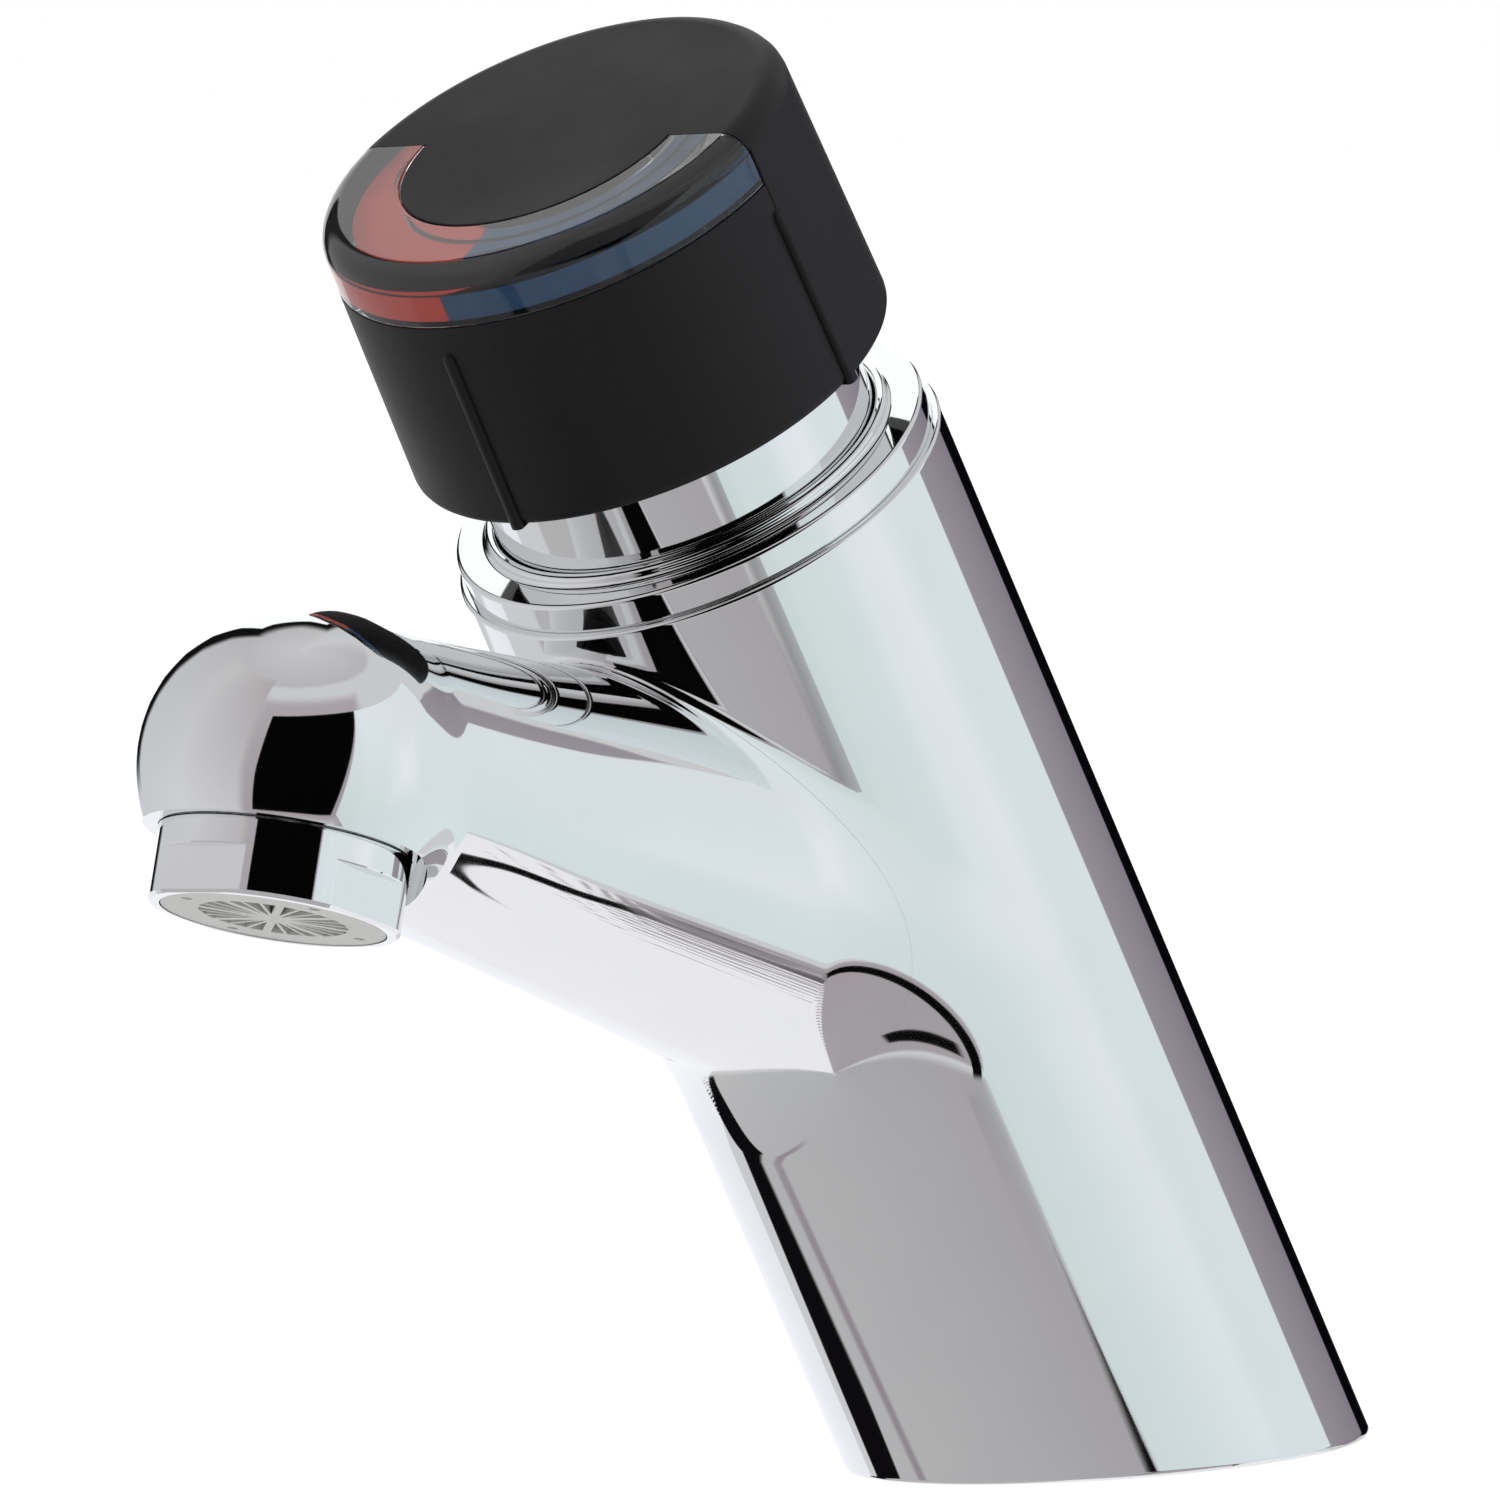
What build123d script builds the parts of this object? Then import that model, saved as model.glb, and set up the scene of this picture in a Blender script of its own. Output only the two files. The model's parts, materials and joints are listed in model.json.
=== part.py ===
from build123d import *
import os
from math import cos, radians, sin, tan

os.makedirs("parts", exist_ok=True)

# Push timed basin tap with a turning temperature cap.
# Lengths are in millimetres and angles in degrees.
# The origin is the centre of the base on the basin, +Z is up and the spout points to -Y.
# Heights named "level" are measured from the origin along the leaning body axis.

# Shared clearances
running_gap = 0.06
seat_gap = 0.05
fit_gap = 0.1
overrun = 2.0

# Body casting
lean = 30
body_wall = 2.6
flange_ledge = 1.4
shoulder_level = 115.5
shoulder_round = 0.8
base_round = 0.8
thread_bore_level = 106.0
ledge_level = 98.0
cartridge_radius = 17.0
cartridge_floor_level = 38.0
feed_radius = 4.0
feed_spread = 9.5

# Spout
spout_reach = 119.9
spout_height = 77.6
spout_rise = 15.9
spout_lift = 2.55
spout_root_setback = 6.82348
spout_root_inset = 0.991
spout_flare_inset = 4.011
spout_root_angle = 50
ball_radius = 15.1
neck_round = 8.0
crease_round = 1.0
# distance from the ball as a share of spout_length and radius as a share of ball_radius
spout_section_shares = (
    (0.178, 0.882),
    (0.357, 0.967),
    (0.540, 1.066),
    (0.714, 1.160),
    (0.850, 1.240),
)
spout_flare_share = 0.929
waterway_radius = 6.5
waterway_level = 64.5

# Mouth of the spout
outlet_tilt = 18.4
mouth_drop = 6.6
mouth_radius = 13.7
outlet_thread_radius = 12.05
outlet_thread_depth = 7.0
outlet_throat_radius = 9.0

# Aerator
aerator_radius = 12.0
aerator_drop = 7.4
aerator_thread_length = 5.4
aerator_bore_radius = 10.3
aerator_rim_radius = 10.8
aerator_rim_depth = 1.6
aerator_edge = 0.35
wrench_size = 22.0
wrench_height = 4.6
star_thickness = 1.5
star_grille_radius = 7.1
star_hub_radius = 1.7
star_spoke_width = 0.8
star_fin_width = 0.32
star_spokes = 8
star_fins = 2
star_mark_radius = 0.55
star_mark_depth = 0.3
star_mark_circle = 9.0
star_marks = 4
star_mark_start_angle = 25
screen_thickness = 0.8
screen_hole_radius = 0.7
screen_hole_spacing = 3.0
screen_rows = 2
regulator_thickness = 3.6
regulator_slot_length = 3.2
regulator_slot_width = 1.1
regulator_slots = 8
regulator_slot_circle = 6.5
filter_wall = 0.8
filter_top_radius = 5.5
filter_base_radius = 9.2
outlet_washer_thickness = 1.5
outlet_washer_bore = 8.2

# Base
recess_margin = 1.6
recess_depth = 12.0
gasket_margin = 2.2
gasket_width = 2.2
gasket_thickness = 1.6
stud_radius = 4.0
stud_depth = 9.0
inlet_radius = 5.0
inlet_depth = 8.5
inlet_setback = 7.0
inlet_passage_radius = 3.2
inlet_ring_width = 1.1
inlet_ring_depth = 0.9
block_screws = 3
block_screw_start_angle = -90
block_screw_circle = 14.5
block_screw_radius = 2.0
block_screw_depth = 8.0
block_screw_head_radius = 3.5
block_screw_head_height = 3.4
block_screw_key = 1.5
block_screw_key_depth = 1.6
block_screw_sink = 0.6
inlet_block_edge = 0.3

# Feed passages
check_valve_level = 24.0
check_valve_length = 12.0
check_valve_flange = 1.2
check_valve_waist = 3.2
strainer_length = 5.0
strainer_wall = 0.7
strainer_rim = 1.0
strainer_level = 17.0
check_valve_bore = 1.8

# Cartridge
base_disc_thickness = 5.5
port_radius = 3.2
port_ring_width = 1.3
port_ring_depth = 1.2
disc_thickness = 3.0
mixing_slot_width = 5.6
mixing_slot_start_angle = 20
mixing_slot_sweep_angle = 140
carrier_thickness = 10.0
carrier_window_radius = 3.0
carrier_window_circle = 9.6
turn_limit = 45
stop_lug_radius = 15.5
stop_lug_angle = 14
stop_spare_angle = 2
housing_pocket_radius = 14.6
housing_pocket_level = 60.0
mixing_chamber_radius = 10.0
seat_level = 71.0
seat_radius = 6.5
seat_thickness = 3.0
outlet_chamber_radius = 10.5
outlet_chamber_level = 86.0
gallery_depth = 2.0
gallery_bottom_level = 75.5
gallery_top_level = 84.5
outlet_port_radius = 3.2
outlet_ports = 6
web_thickness = 2.6
timing_bore_radius = 12.4
housing_flange_thickness = 3.0
housing_ring_radius = 0.95
housing_ring_lower_level = 66.0
housing_ring_upper_level = 92.5
nut_thickness = 4.5
nut_bore_radius = 5.6
nut_slot_width = 3.0
nut_slot_depth = 1.6

# Button
push_travel = 6.0
stem_radius = 4.0
stem_square = 5.6
stem_square_gap = 0.1
stem_bottom_level = 56.5
stem_hole_radius = 1.5
stem_hole_depth = 9.0
washer_radius = 8.4
washer_thickness = 3.0
washer_nut_radius = 5.6
washer_nut_thickness = 1.9
piston_top_level = 100.0
piston_thickness = 5.0
piston_gap = 0.15
piston_groove_depth = 1.5
piston_groove_width = 2.0
metering_pin_radius = 0.9
metering_pin_circle = 8.4
clip_thickness = 0.8
clip_width = 2.2
clip_groove_depth = 0.7
stem_ring_section = 1.3
spring_mean_radius = 7.2
spring_wire_radius = 0.8
spring_turns = 7
sleeve_radius = 19.6
sleeve_wall = 1.0
sleeve_bottom_level = 112.0
sleeve_edge = 0.2
hub_level = 140.0
hub_thickness = 5.5
hub_window_radius = 2.2
hub_window_circle = 15.0
hub_window_start_angle = 30
cap_screw_circle = 11.0
cap_screw_start_angle = 90
cap_screw_radius = 1.4
cap_screw_length = 11.0
cap_screw_head_radius = 2.4
cap_screw_head_height = 1.7
cap_screws_count = 3
hub_screw_head_radius = 3.4
hub_screw_head_height = 2.2
hub_screw_length = 8.0
hub_screw_key = 1.5

# Collar
collar_step = 0.8
collar_height = 3.05
collar_edge = 0.45
collar_lip_width = 1.25
collar_lip_height = 1.05
collar_lip_gap = 0.15
collar_lip_thickness = 0.8
collar_lip_round = 0.4
collar_skirt_wall = 0.8
collar_skirt_level = 108.0
bush_wall = 0.9
bush_flange_width = 1.0
bush_flange_thickness = 1.0
wiper_thickness = 1.3

# Cap
cap_rim_lift = 12.5
cap_height = 28.2
cap_overhang = 5.0
cap_side_draft = 0.7
cap_wall = 2.2
cap_socket_wall = 1.3
cap_socket_lift = 6.0
cap_top_wall = 2.6
cap_rim_round = 1.6
cap_top_round = 2.6
cap_roof_level = 147.8
cap_core_radius = 13.6
cap_boss_radius = 2.7
rib_width = 1.4
rib_height = 0.5
rib_root = 0.8
rib_window_space = 2.7
rib_count = 4

# Temperature window and its coloured pieces
window_radius = 15.0
window_height = 6.0
window_gap = 0.08
strip_thickness = 0.4
strip_band_inset = 1.6
strip_band_height = 3.2
strip_inner_radius = 15.4
strip_change_angle = 3
hot_end_width = 6.4
strip_change_width = 2.6
cold_end_width = 0.9

# Radii from the push sleeve out to the casting, and what follows them
housing_radius = cartridge_radius - seat_gap
bush_radius = sleeve_radius + bush_wall
bush_flange_radius = bush_radius + bush_flange_width
collar_skirt_radius = bush_flange_radius + collar_skirt_wall
thread_bore_radius = collar_skirt_radius + fit_gap
flange_bore_radius = thread_bore_radius - flange_ledge
body_radius = thread_bore_radius + body_wall
collar_radius = body_radius - collar_step
collar_lip_radius = sleeve_radius + collar_lip_width
gasket_outer_radius = body_radius - gasket_margin
gasket_inner_radius = gasket_outer_radius - gasket_width
recess_radius = gasket_inner_radius - recess_margin

# Cap and window sizes that follow the sleeve and the shoulder
cap_rim_level = shoulder_level + cap_rim_lift
cap_top_level = cap_rim_level + cap_height
cap_socket_level = cap_rim_level + cap_socket_lift
cap_core_level = cap_top_level - cap_top_wall
cap_rim_radius = sleeve_radius + cap_overhang
cap_top_radius = cap_rim_radius - cap_side_draft
cap_cavity_radius = cap_rim_radius - cap_wall
cap_socket_radius = sleeve_radius + cap_socket_wall
window_level = cap_top_level - window_height
rib_top_level = window_level - rib_window_space

# Directions and frames
origin = Vector(0, 0, 0)
right_dir = Vector(1, 0, 0)
axis_dir = Vector(0, -sin(radians(lean)), cos(radians(lean)))
front_dir = Vector(0, -cos(radians(lean)), -sin(radians(lean)))
tap_axis = Axis(origin, axis_dir)
inward_dir = Vector(0, cos(radians(spout_rise)), -sin(radians(spout_rise)))
lift_dir = Vector(0, sin(radians(spout_rise)), cos(radians(spout_rise)))
outlet_dir = Vector(0, -sin(radians(outlet_tilt)), -cos(radians(outlet_tilt)))
outlet_side_dir = Vector(0, -cos(radians(outlet_tilt)), sin(radians(outlet_tilt)))
ball_centre = Vector(0, -spout_reach, spout_height)
spout_start = ball_centre + lift_dir * spout_lift
mouth_centre = ball_centre + outlet_dir * mouth_drop
outlet_axis = Axis(mouth_centre, outlet_dir)


def across(level):
    # plane square to the body axis; its own -Y looks to the front
    return Plane(origin=axis_dir * level, x_dir=right_dir, z_dir=axis_dir)


def along(angle):
    # plane through the body axis; X is the radius at this angle from the front, Y the level
    radius_dir = front_dir * cos(radians(angle)) + right_dir * sin(radians(angle))
    return Plane(origin=origin, x_dir=radius_dir, z_dir=radius_dir.cross(axis_dir))


def outlet_across(drop):
    # plane square to the outlet axis, this far below the mouth
    return Plane(origin=mouth_centre + outlet_dir * drop, x_dir=right_dir, z_dir=outlet_dir)


outlet_along = Plane(
    origin=mouth_centre, x_dir=outlet_side_dir, z_dir=outlet_side_dir.cross(outlet_dir)
)


def turn(*outline, plane=along(0), axis=tap_axis, mode=Mode.ADD):
    # a turned form from (radius, level) points
    with BuildSketch(plane) as profile:
        with BuildLine():
            Polyline(*outline, close=True)
        make_face()
    revolve(profile.sketch, axis=axis, mode=mode)


def turn_ring(inner, outer, bottom, top, plane=along(0), axis=tap_axis, mode=Mode.ADD):
    turn((inner, bottom), (outer, bottom), (outer, top), (inner, top), plane=plane, axis=axis, mode=mode)


def axis_distance(point):
    # distance of a point from the body axis
    return (point - axis_dir * point.dot(axis_dir)).length


def finish(part, name):
    part.label = name
    export_step(part, f"parts/{name}.step")


# Base: places shared by the casting, the inlet block, its seals and its screws
inlet_spread = feed_spread
inlet_ring_radius = inlet_passage_radius + inlet_ring_width
block_screw_seat = block_screw_head_height + block_screw_sink
stop_reach = stop_lug_radius * 2
stop_arc_angle = turn_limit + stop_lug_angle / 2 + stop_spare_angle
outlet_port_level = (gallery_bottom_level + gallery_top_level) / 2

barrel_start = -body_radius * tan(radians(lean)) - overrun
spout_side = Plane(origin=spout_start, x_dir=inward_dir, z_dir=right_dir)
spout_axis = Axis(spout_start, inward_dir)
neck_radius = ball_radius * spout_section_shares[0][1]
spout_axis_distance = spout_start.dot(front_dir) / -inward_dir.dot(front_dir)
spout_length = spout_axis_distance - spout_root_setback
spout_edge = [
    (spout_length * distance_share, ball_radius * radius_share)
    for distance_share, radius_share in spout_section_shares
]
spout_edge.append((spout_length * spout_flare_share, body_radius - spout_flare_inset))
spout_edge.append((spout_length, body_radius - spout_root_inset))
root_distance, root_radius = spout_edge[-1]
water_root = axis_dir * waterway_level
water_dir = (water_root - ball_centre).normalized()

# Body casting: leaning barrel, flared spout turned about its own axis, and ball end
with BuildPart() as body_casting:
    with BuildSketch(across(barrel_start)):
        Circle(body_radius)
    extrude(amount=shoulder_level - barrel_start)
    split(bisect_by=Plane.XY, keep=Keep.TOP)
    fillet(body_casting.edges().sort_by(tap_axis)[-1], shoulder_round)
    fillet(body_casting.edges().sort_by(Axis.Z)[0], base_round)
    with BuildSketch(spout_side):
        with BuildLine():
            CenterArc((0, 0), neck_radius, 90, 90)
            Spline(
                (0, neck_radius),
                *spout_edge,
                tangents=((1, 0), (cos(radians(spout_root_angle)), sin(radians(spout_root_angle)))),
            )
            Line((root_distance, root_radius), (root_distance, 0))
            Line((root_distance, 0), (-neck_radius, 0))
        make_face()
    revolve(axis=spout_axis)
    crease = body_casting.edges().filter_by(GeomType.BSPLINE)
    fillet(
        crease.filter_by(
            lambda edge: axis_distance(edge @ 0.5) < body_radius + running_gap
            and (edge @ 0.5).Z > body_radius
        ),
        crease_round,
    )
    with Locations(ball_centre):
        Sphere(ball_radius)
    fillet(
        body_casting.edges().filter_by(
            lambda edge: abs((edge @ 0.1 - ball_centre).length - ball_radius) < running_gap
            and abs((edge @ 0.5 - ball_centre).length - ball_radius) < running_gap
        ),
        neck_round,
    )
    # mouth, outlet thread and waterway
    with BuildSketch(outlet_across(0)):
        Circle(mouth_radius)
    extrude(amount=ball_radius, mode=Mode.SUBTRACT)
    with BuildSketch(outlet_across(0)):
        Circle(outlet_thread_radius)
    extrude(amount=-outlet_thread_depth, mode=Mode.SUBTRACT)
    with BuildSketch(outlet_across(0)):
        Circle(outlet_throat_radius)
    extrude(amount=-mouth_drop, mode=Mode.SUBTRACT)
    with BuildSketch(Plane(origin=ball_centre, x_dir=right_dir, z_dir=water_dir)):
        Circle(waterway_radius)
    extrude(amount=(water_root - ball_centre).length, mode=Mode.SUBTRACT)
    with Locations(ball_centre):
        Sphere(outlet_throat_radius, mode=Mode.SUBTRACT)
    # stepped bore for the cartridge, its nut and the collar
    turn(
        (0, cartridge_floor_level),
        (cartridge_radius, cartridge_floor_level),
        (cartridge_radius, ledge_level),
        (flange_bore_radius, ledge_level),
        (flange_bore_radius, thread_bore_level),
        (thread_bore_radius, thread_bore_level),
        (thread_bore_radius, shoulder_level + overrun),
        (0, shoulder_level + overrun),
        mode=Mode.SUBTRACT,
    )
    # feed passages from the inlet block to the cartridge
    with BuildSketch(across(0)):
        with Locations((feed_spread, 0), (-feed_spread, 0)):
            Circle(feed_radius)
    extrude(amount=cartridge_floor_level, mode=Mode.SUBTRACT)
    # recess for the inlet block, its screw holes and the gasket groove
    with BuildSketch(Plane.XY):
        Circle(recess_radius)
    extrude(amount=recess_depth, mode=Mode.SUBTRACT)
    with BuildSketch(Plane.XY.offset(recess_depth)):
        with PolarLocations(block_screw_circle, block_screws, start_angle=block_screw_start_angle):
            Circle(block_screw_radius)
    extrude(amount=block_screw_depth, mode=Mode.SUBTRACT)
    with BuildSketch(Plane.XY):
        Circle(gasket_outer_radius)
        Circle(gasket_inner_radius, mode=Mode.SUBTRACT)
    extrude(amount=gasket_thickness, mode=Mode.SUBTRACT)
finish(body_casting.part, "body_casting")

with BuildPart() as base_gasket:
    with BuildSketch(Plane.XY):
        Circle(gasket_outer_radius)
        Circle(gasket_inner_radius, mode=Mode.SUBTRACT)
    extrude(amount=gasket_thickness)
finish(base_gasket.part, "base_gasket")

# Inlet block: closes the recess and takes the stud and the two supply hoses
with BuildPart() as inlet_block:
    with BuildSketch(Plane.XY):
        Circle(recess_radius - fit_gap)
    extrude(amount=recess_depth)
    chamfer(inlet_block.edges().filter_by(GeomType.CIRCLE), inlet_block_edge)
    with BuildSketch(Plane.XY):
        Circle(stud_radius)
    extrude(amount=stud_depth, mode=Mode.SUBTRACT)
    with BuildSketch(Plane.XY):
        with Locations((inlet_spread, -inlet_setback), (-inlet_spread, -inlet_setback)):
            Circle(inlet_radius)
    extrude(amount=inlet_depth, mode=Mode.SUBTRACT)
    with BuildSketch(Plane.XY):
        with Locations((inlet_spread, -inlet_setback), (-inlet_spread, -inlet_setback)):
            Circle(inlet_passage_radius)
    extrude(amount=recess_depth, mode=Mode.SUBTRACT)
    with BuildSketch(Plane.XY.offset(recess_depth)):
        with Locations((inlet_spread, -inlet_setback), (-inlet_spread, -inlet_setback)):
            Circle(inlet_ring_radius)
    extrude(amount=-inlet_ring_depth, mode=Mode.SUBTRACT)
    with BuildSketch(Plane.XY):
        with PolarLocations(block_screw_circle, block_screws, start_angle=block_screw_start_angle):
            Circle(block_screw_head_radius + fit_gap)
    extrude(amount=block_screw_seat, mode=Mode.SUBTRACT)
    with BuildSketch(Plane.XY):
        with PolarLocations(block_screw_circle, block_screws, start_angle=block_screw_start_angle):
            Circle(block_screw_radius + fit_gap)
    extrude(amount=recess_depth, mode=Mode.SUBTRACT)
finish(inlet_block.part, "inlet_block")

with BuildPart() as inlet_seals:
    with BuildSketch(Plane.XY.offset(recess_depth - inlet_ring_depth)):
        with Locations((inlet_spread, -inlet_setback), (-inlet_spread, -inlet_setback)):
            Circle(inlet_ring_radius)
            Circle(inlet_passage_radius, mode=Mode.SUBTRACT)
    extrude(amount=inlet_ring_depth)
finish(inlet_seals.part, "inlet_seals")

with BuildPart() as block_screw_set:
    with BuildSketch(Plane.XY.offset(block_screw_seat - block_screw_head_height)):
        with PolarLocations(block_screw_circle, block_screws, start_angle=block_screw_start_angle):
            Circle(block_screw_head_radius)
    extrude(amount=block_screw_head_height)
    with BuildSketch(Plane.XY.offset(block_screw_seat)):
        with PolarLocations(block_screw_circle, block_screws, start_angle=block_screw_start_angle):
            Circle(block_screw_radius)
    extrude(amount=recess_depth + block_screw_depth - block_screw_seat - fit_gap)
    with BuildSketch(Plane.XY.offset(block_screw_seat - block_screw_head_height)):
        with PolarLocations(block_screw_circle, block_screws, start_angle=block_screw_start_angle):
            RegularPolygon(block_screw_key, 6)
    extrude(amount=block_screw_key_depth, mode=Mode.SUBTRACT)
finish(block_screw_set.part, "block_screw_set")

# Strainers and check valves, one pair in the two feed passages
with BuildPart() as feed_strainers:
    with BuildSketch(across(strainer_level)):
        with Locations((feed_spread, 0), (-feed_spread, 0)):
            Circle(feed_radius)
    extrude(amount=strainer_rim)
    with BuildSketch(across(strainer_level)):
        with Locations((feed_spread, 0), (-feed_spread, 0)):
            Circle(feed_radius - strainer_wall)
    extrude(amount=strainer_length)
    with BuildSketch(across(strainer_level)):
        with Locations((feed_spread, 0), (-feed_spread, 0)):
            Circle(feed_radius - strainer_wall * 2)
    extrude(amount=strainer_length - strainer_wall, mode=Mode.SUBTRACT)
finish(feed_strainers.part, "feed_strainers")

with BuildPart() as check_valves:
    with BuildSketch(across(check_valve_level)):
        with Locations((feed_spread, 0), (-feed_spread, 0)):
            Circle(check_valve_waist)
    extrude(amount=check_valve_length)
    with BuildSketch(across(check_valve_level), across(check_valve_level + check_valve_length - check_valve_flange)):
        with Locations((feed_spread, 0), (-feed_spread, 0)):
            Circle(feed_radius)
    extrude(amount=check_valve_flange)
    with BuildSketch(across(check_valve_level)):
        with Locations((feed_spread, 0), (-feed_spread, 0)):
            Circle(check_valve_bore)
    extrude(amount=check_valve_flange * 2, mode=Mode.SUBTRACT)
finish(check_valves.part, "check_valves")

# Cartridge base with its two port seals
base_disc_top = cartridge_floor_level + base_disc_thickness
with BuildPart() as cartridge_base:
    turn_ring(0, housing_radius, cartridge_floor_level, base_disc_top)
    with BuildSketch(across(cartridge_floor_level)):
        with Locations((feed_spread, 0), (-feed_spread, 0)):
            Circle(port_radius)
    extrude(amount=base_disc_thickness, mode=Mode.SUBTRACT)
    with BuildSketch(across(cartridge_floor_level)):
        with Locations((feed_spread, 0), (-feed_spread, 0)):
            Circle(feed_radius + port_ring_width)
    extrude(amount=port_ring_depth, mode=Mode.SUBTRACT)
finish(cartridge_base.part, "cartridge_base")

with BuildPart() as port_seals:
    with BuildSketch(across(cartridge_floor_level)):
        with Locations((feed_spread, 0), (-feed_spread, 0)):
            Circle(feed_radius + port_ring_width)
            Circle(port_radius, mode=Mode.SUBTRACT)
    extrude(amount=port_ring_depth)
finish(port_seals.part, "port_seals")

# Mixing discs: the lower one is fixed, the upper one turns with the cap
fixed_disc_top = base_disc_top + disc_thickness
fixed_disc_radius = housing_pocket_radius - fit_gap
disc_radius = housing_pocket_radius - running_gap
with BuildPart() as fixed_disc:
    turn_ring(0, fixed_disc_radius, base_disc_top, fixed_disc_top)
    with BuildSketch(across(base_disc_top)):
        with Locations((feed_spread, 0), (-feed_spread, 0)):
            Circle(port_radius)
    extrude(amount=disc_thickness, mode=Mode.SUBTRACT)
finish(fixed_disc.part, "fixed_disc")


def mixing_slot():
    # arc slot on the rear side; at mid turn it opens both ports by half
    SlotArc(
        CenterArc((0, 0), feed_spread, mixing_slot_start_angle, mixing_slot_sweep_angle),
        mixing_slot_width,
    )


mixing_disc_bottom = fixed_disc_top + seat_gap
mixing_disc_top = mixing_disc_bottom + disc_thickness
with BuildPart() as mixing_disc:
    turn_ring(0, disc_radius, mixing_disc_bottom, mixing_disc_top)
    with BuildSketch(across(mixing_disc_bottom)):
        mixing_slot()
    extrude(amount=disc_thickness, mode=Mode.SUBTRACT)
finish(mixing_disc.part, "mixing_disc")

# Carrier: turns the upper disc, is driven by the square of the stem and stops on a lug
carrier_top = mixing_disc_top + carrier_thickness
stem_hole_side = stem_square + stem_square_gap * 2
with BuildPart() as disc_carrier:
    turn_ring(0, disc_radius, mixing_disc_top, carrier_top)
    with BuildSketch(across(mixing_disc_top)):
        Circle(stop_lug_radius)
        Circle(disc_radius - overrun, mode=Mode.SUBTRACT)
        Polygon(
            (0, 0),
            (-stop_reach * tan(radians(stop_lug_angle / 2)), -stop_reach),
            (stop_reach * tan(radians(stop_lug_angle / 2)), -stop_reach),
            align=None,
            mode=Mode.INTERSECT,
        )
    extrude(amount=carrier_thickness)
    with BuildSketch(across(mixing_disc_top)):
        mixing_slot()
        with Locations((0, -carrier_window_circle)):
            Circle(carrier_window_radius)
        Rectangle(stem_hole_side, stem_hole_side)
    extrude(amount=carrier_thickness, mode=Mode.SUBTRACT)
finish(disc_carrier.part, "disc_carrier")

# Cartridge housing: disc pocket, mixing chamber, seat, outlet chamber and timing bore
web_top = outlet_chamber_level + web_thickness
stem_seal_level = outlet_chamber_level + web_thickness / 2
stem_seal_inner = stem_radius + running_gap
stem_seal_outer = stem_seal_inner + stem_ring_section
with BuildPart() as cartridge_housing:
    turn(
        (housing_pocket_radius, base_disc_top),
        (housing_radius, base_disc_top),
        (housing_radius, gallery_bottom_level),
        (housing_radius - gallery_depth, gallery_bottom_level),
        (housing_radius - gallery_depth, gallery_top_level),
        (housing_radius, gallery_top_level),
        (housing_radius, ledge_level),
        (flange_bore_radius - fit_gap, ledge_level),
        (flange_bore_radius - fit_gap, ledge_level + housing_flange_thickness),
        (timing_bore_radius, ledge_level + housing_flange_thickness),
        (timing_bore_radius, web_top),
        (stem_radius + running_gap, web_top),
        (stem_radius + running_gap, outlet_chamber_level),
        (outlet_chamber_radius, outlet_chamber_level),
        (outlet_chamber_radius, seat_level + seat_thickness),
        (seat_radius, seat_level + seat_thickness),
        (seat_radius, seat_level),
        (mixing_chamber_radius, seat_level),
        (mixing_chamber_radius, housing_pocket_level),
        (housing_pocket_radius, housing_pocket_level),
    )
    # side ports into the outlet gallery
    for port in range(outlet_ports):
        port_plane = along(port * 360 / outlet_ports)
        with BuildSketch(
            Plane(
                origin=axis_dir * outlet_port_level, x_dir=port_plane.z_dir, z_dir=port_plane.x_dir
            )
        ):
            Circle(outlet_port_radius)
        extrude(amount=housing_radius, mode=Mode.SUBTRACT)
    # arc for the lug of the carrier
    with BuildSketch(across(base_disc_top)):
        Circle(stop_lug_radius + fit_gap * 2)
        Circle(housing_pocket_radius - overrun, mode=Mode.SUBTRACT)
        Polygon(
            (0, 0),
            (-stop_reach * tan(radians(stop_arc_angle)), -stop_reach),
            (stop_reach * tan(radians(stop_arc_angle)), -stop_reach),
            align=None,
            mode=Mode.INTERSECT,
        )
    extrude(amount=housing_pocket_level - base_disc_top, mode=Mode.SUBTRACT)
    # groove of the stem seal and of the two sealing rings
    turn_ring(
        stem_radius,
        stem_seal_outer,
        stem_seal_level - stem_ring_section / 2,
        stem_seal_level + stem_ring_section / 2,
        mode=Mode.SUBTRACT,
    )
    for level in (housing_ring_lower_level, housing_ring_upper_level):
        turn_ring(
            housing_radius - housing_ring_radius * 2,
            housing_radius + overrun,
            level - housing_ring_radius,
            level + housing_ring_radius,
            mode=Mode.SUBTRACT,
        )
finish(cartridge_housing.part, "cartridge_housing")

with BuildPart() as housing_seals:
    for level in (housing_ring_lower_level, housing_ring_upper_level):
        with BuildSketch(along(0)) as section:
            with Locations((housing_radius - housing_ring_radius, level)):
                Circle(housing_ring_radius)
        revolve(section.sketch, axis=tap_axis)
finish(housing_seals.part, "housing_seals")

with BuildPart() as stem_seal:
    with BuildSketch(along(0)) as section:
        with Locations((stem_seal_inner + stem_ring_section / 2, stem_seal_level)):
            Circle(stem_ring_section / 2)
    revolve(section.sketch, axis=tap_axis)
finish(stem_seal.part, "stem_seal")

# Nut that holds the cartridge down
nut_bottom = ledge_level + housing_flange_thickness
nut_top = nut_bottom + nut_thickness
with BuildPart() as cartridge_nut:
    turn_ring(nut_bore_radius, flange_bore_radius - fit_gap, nut_bottom, nut_top)
    with BuildSketch(across(nut_top)):
        Rectangle(flange_bore_radius * 2, nut_slot_width)
    extrude(amount=-nut_slot_depth, mode=Mode.SUBTRACT)
finish(cartridge_nut.part, "cartridge_nut")

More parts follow.
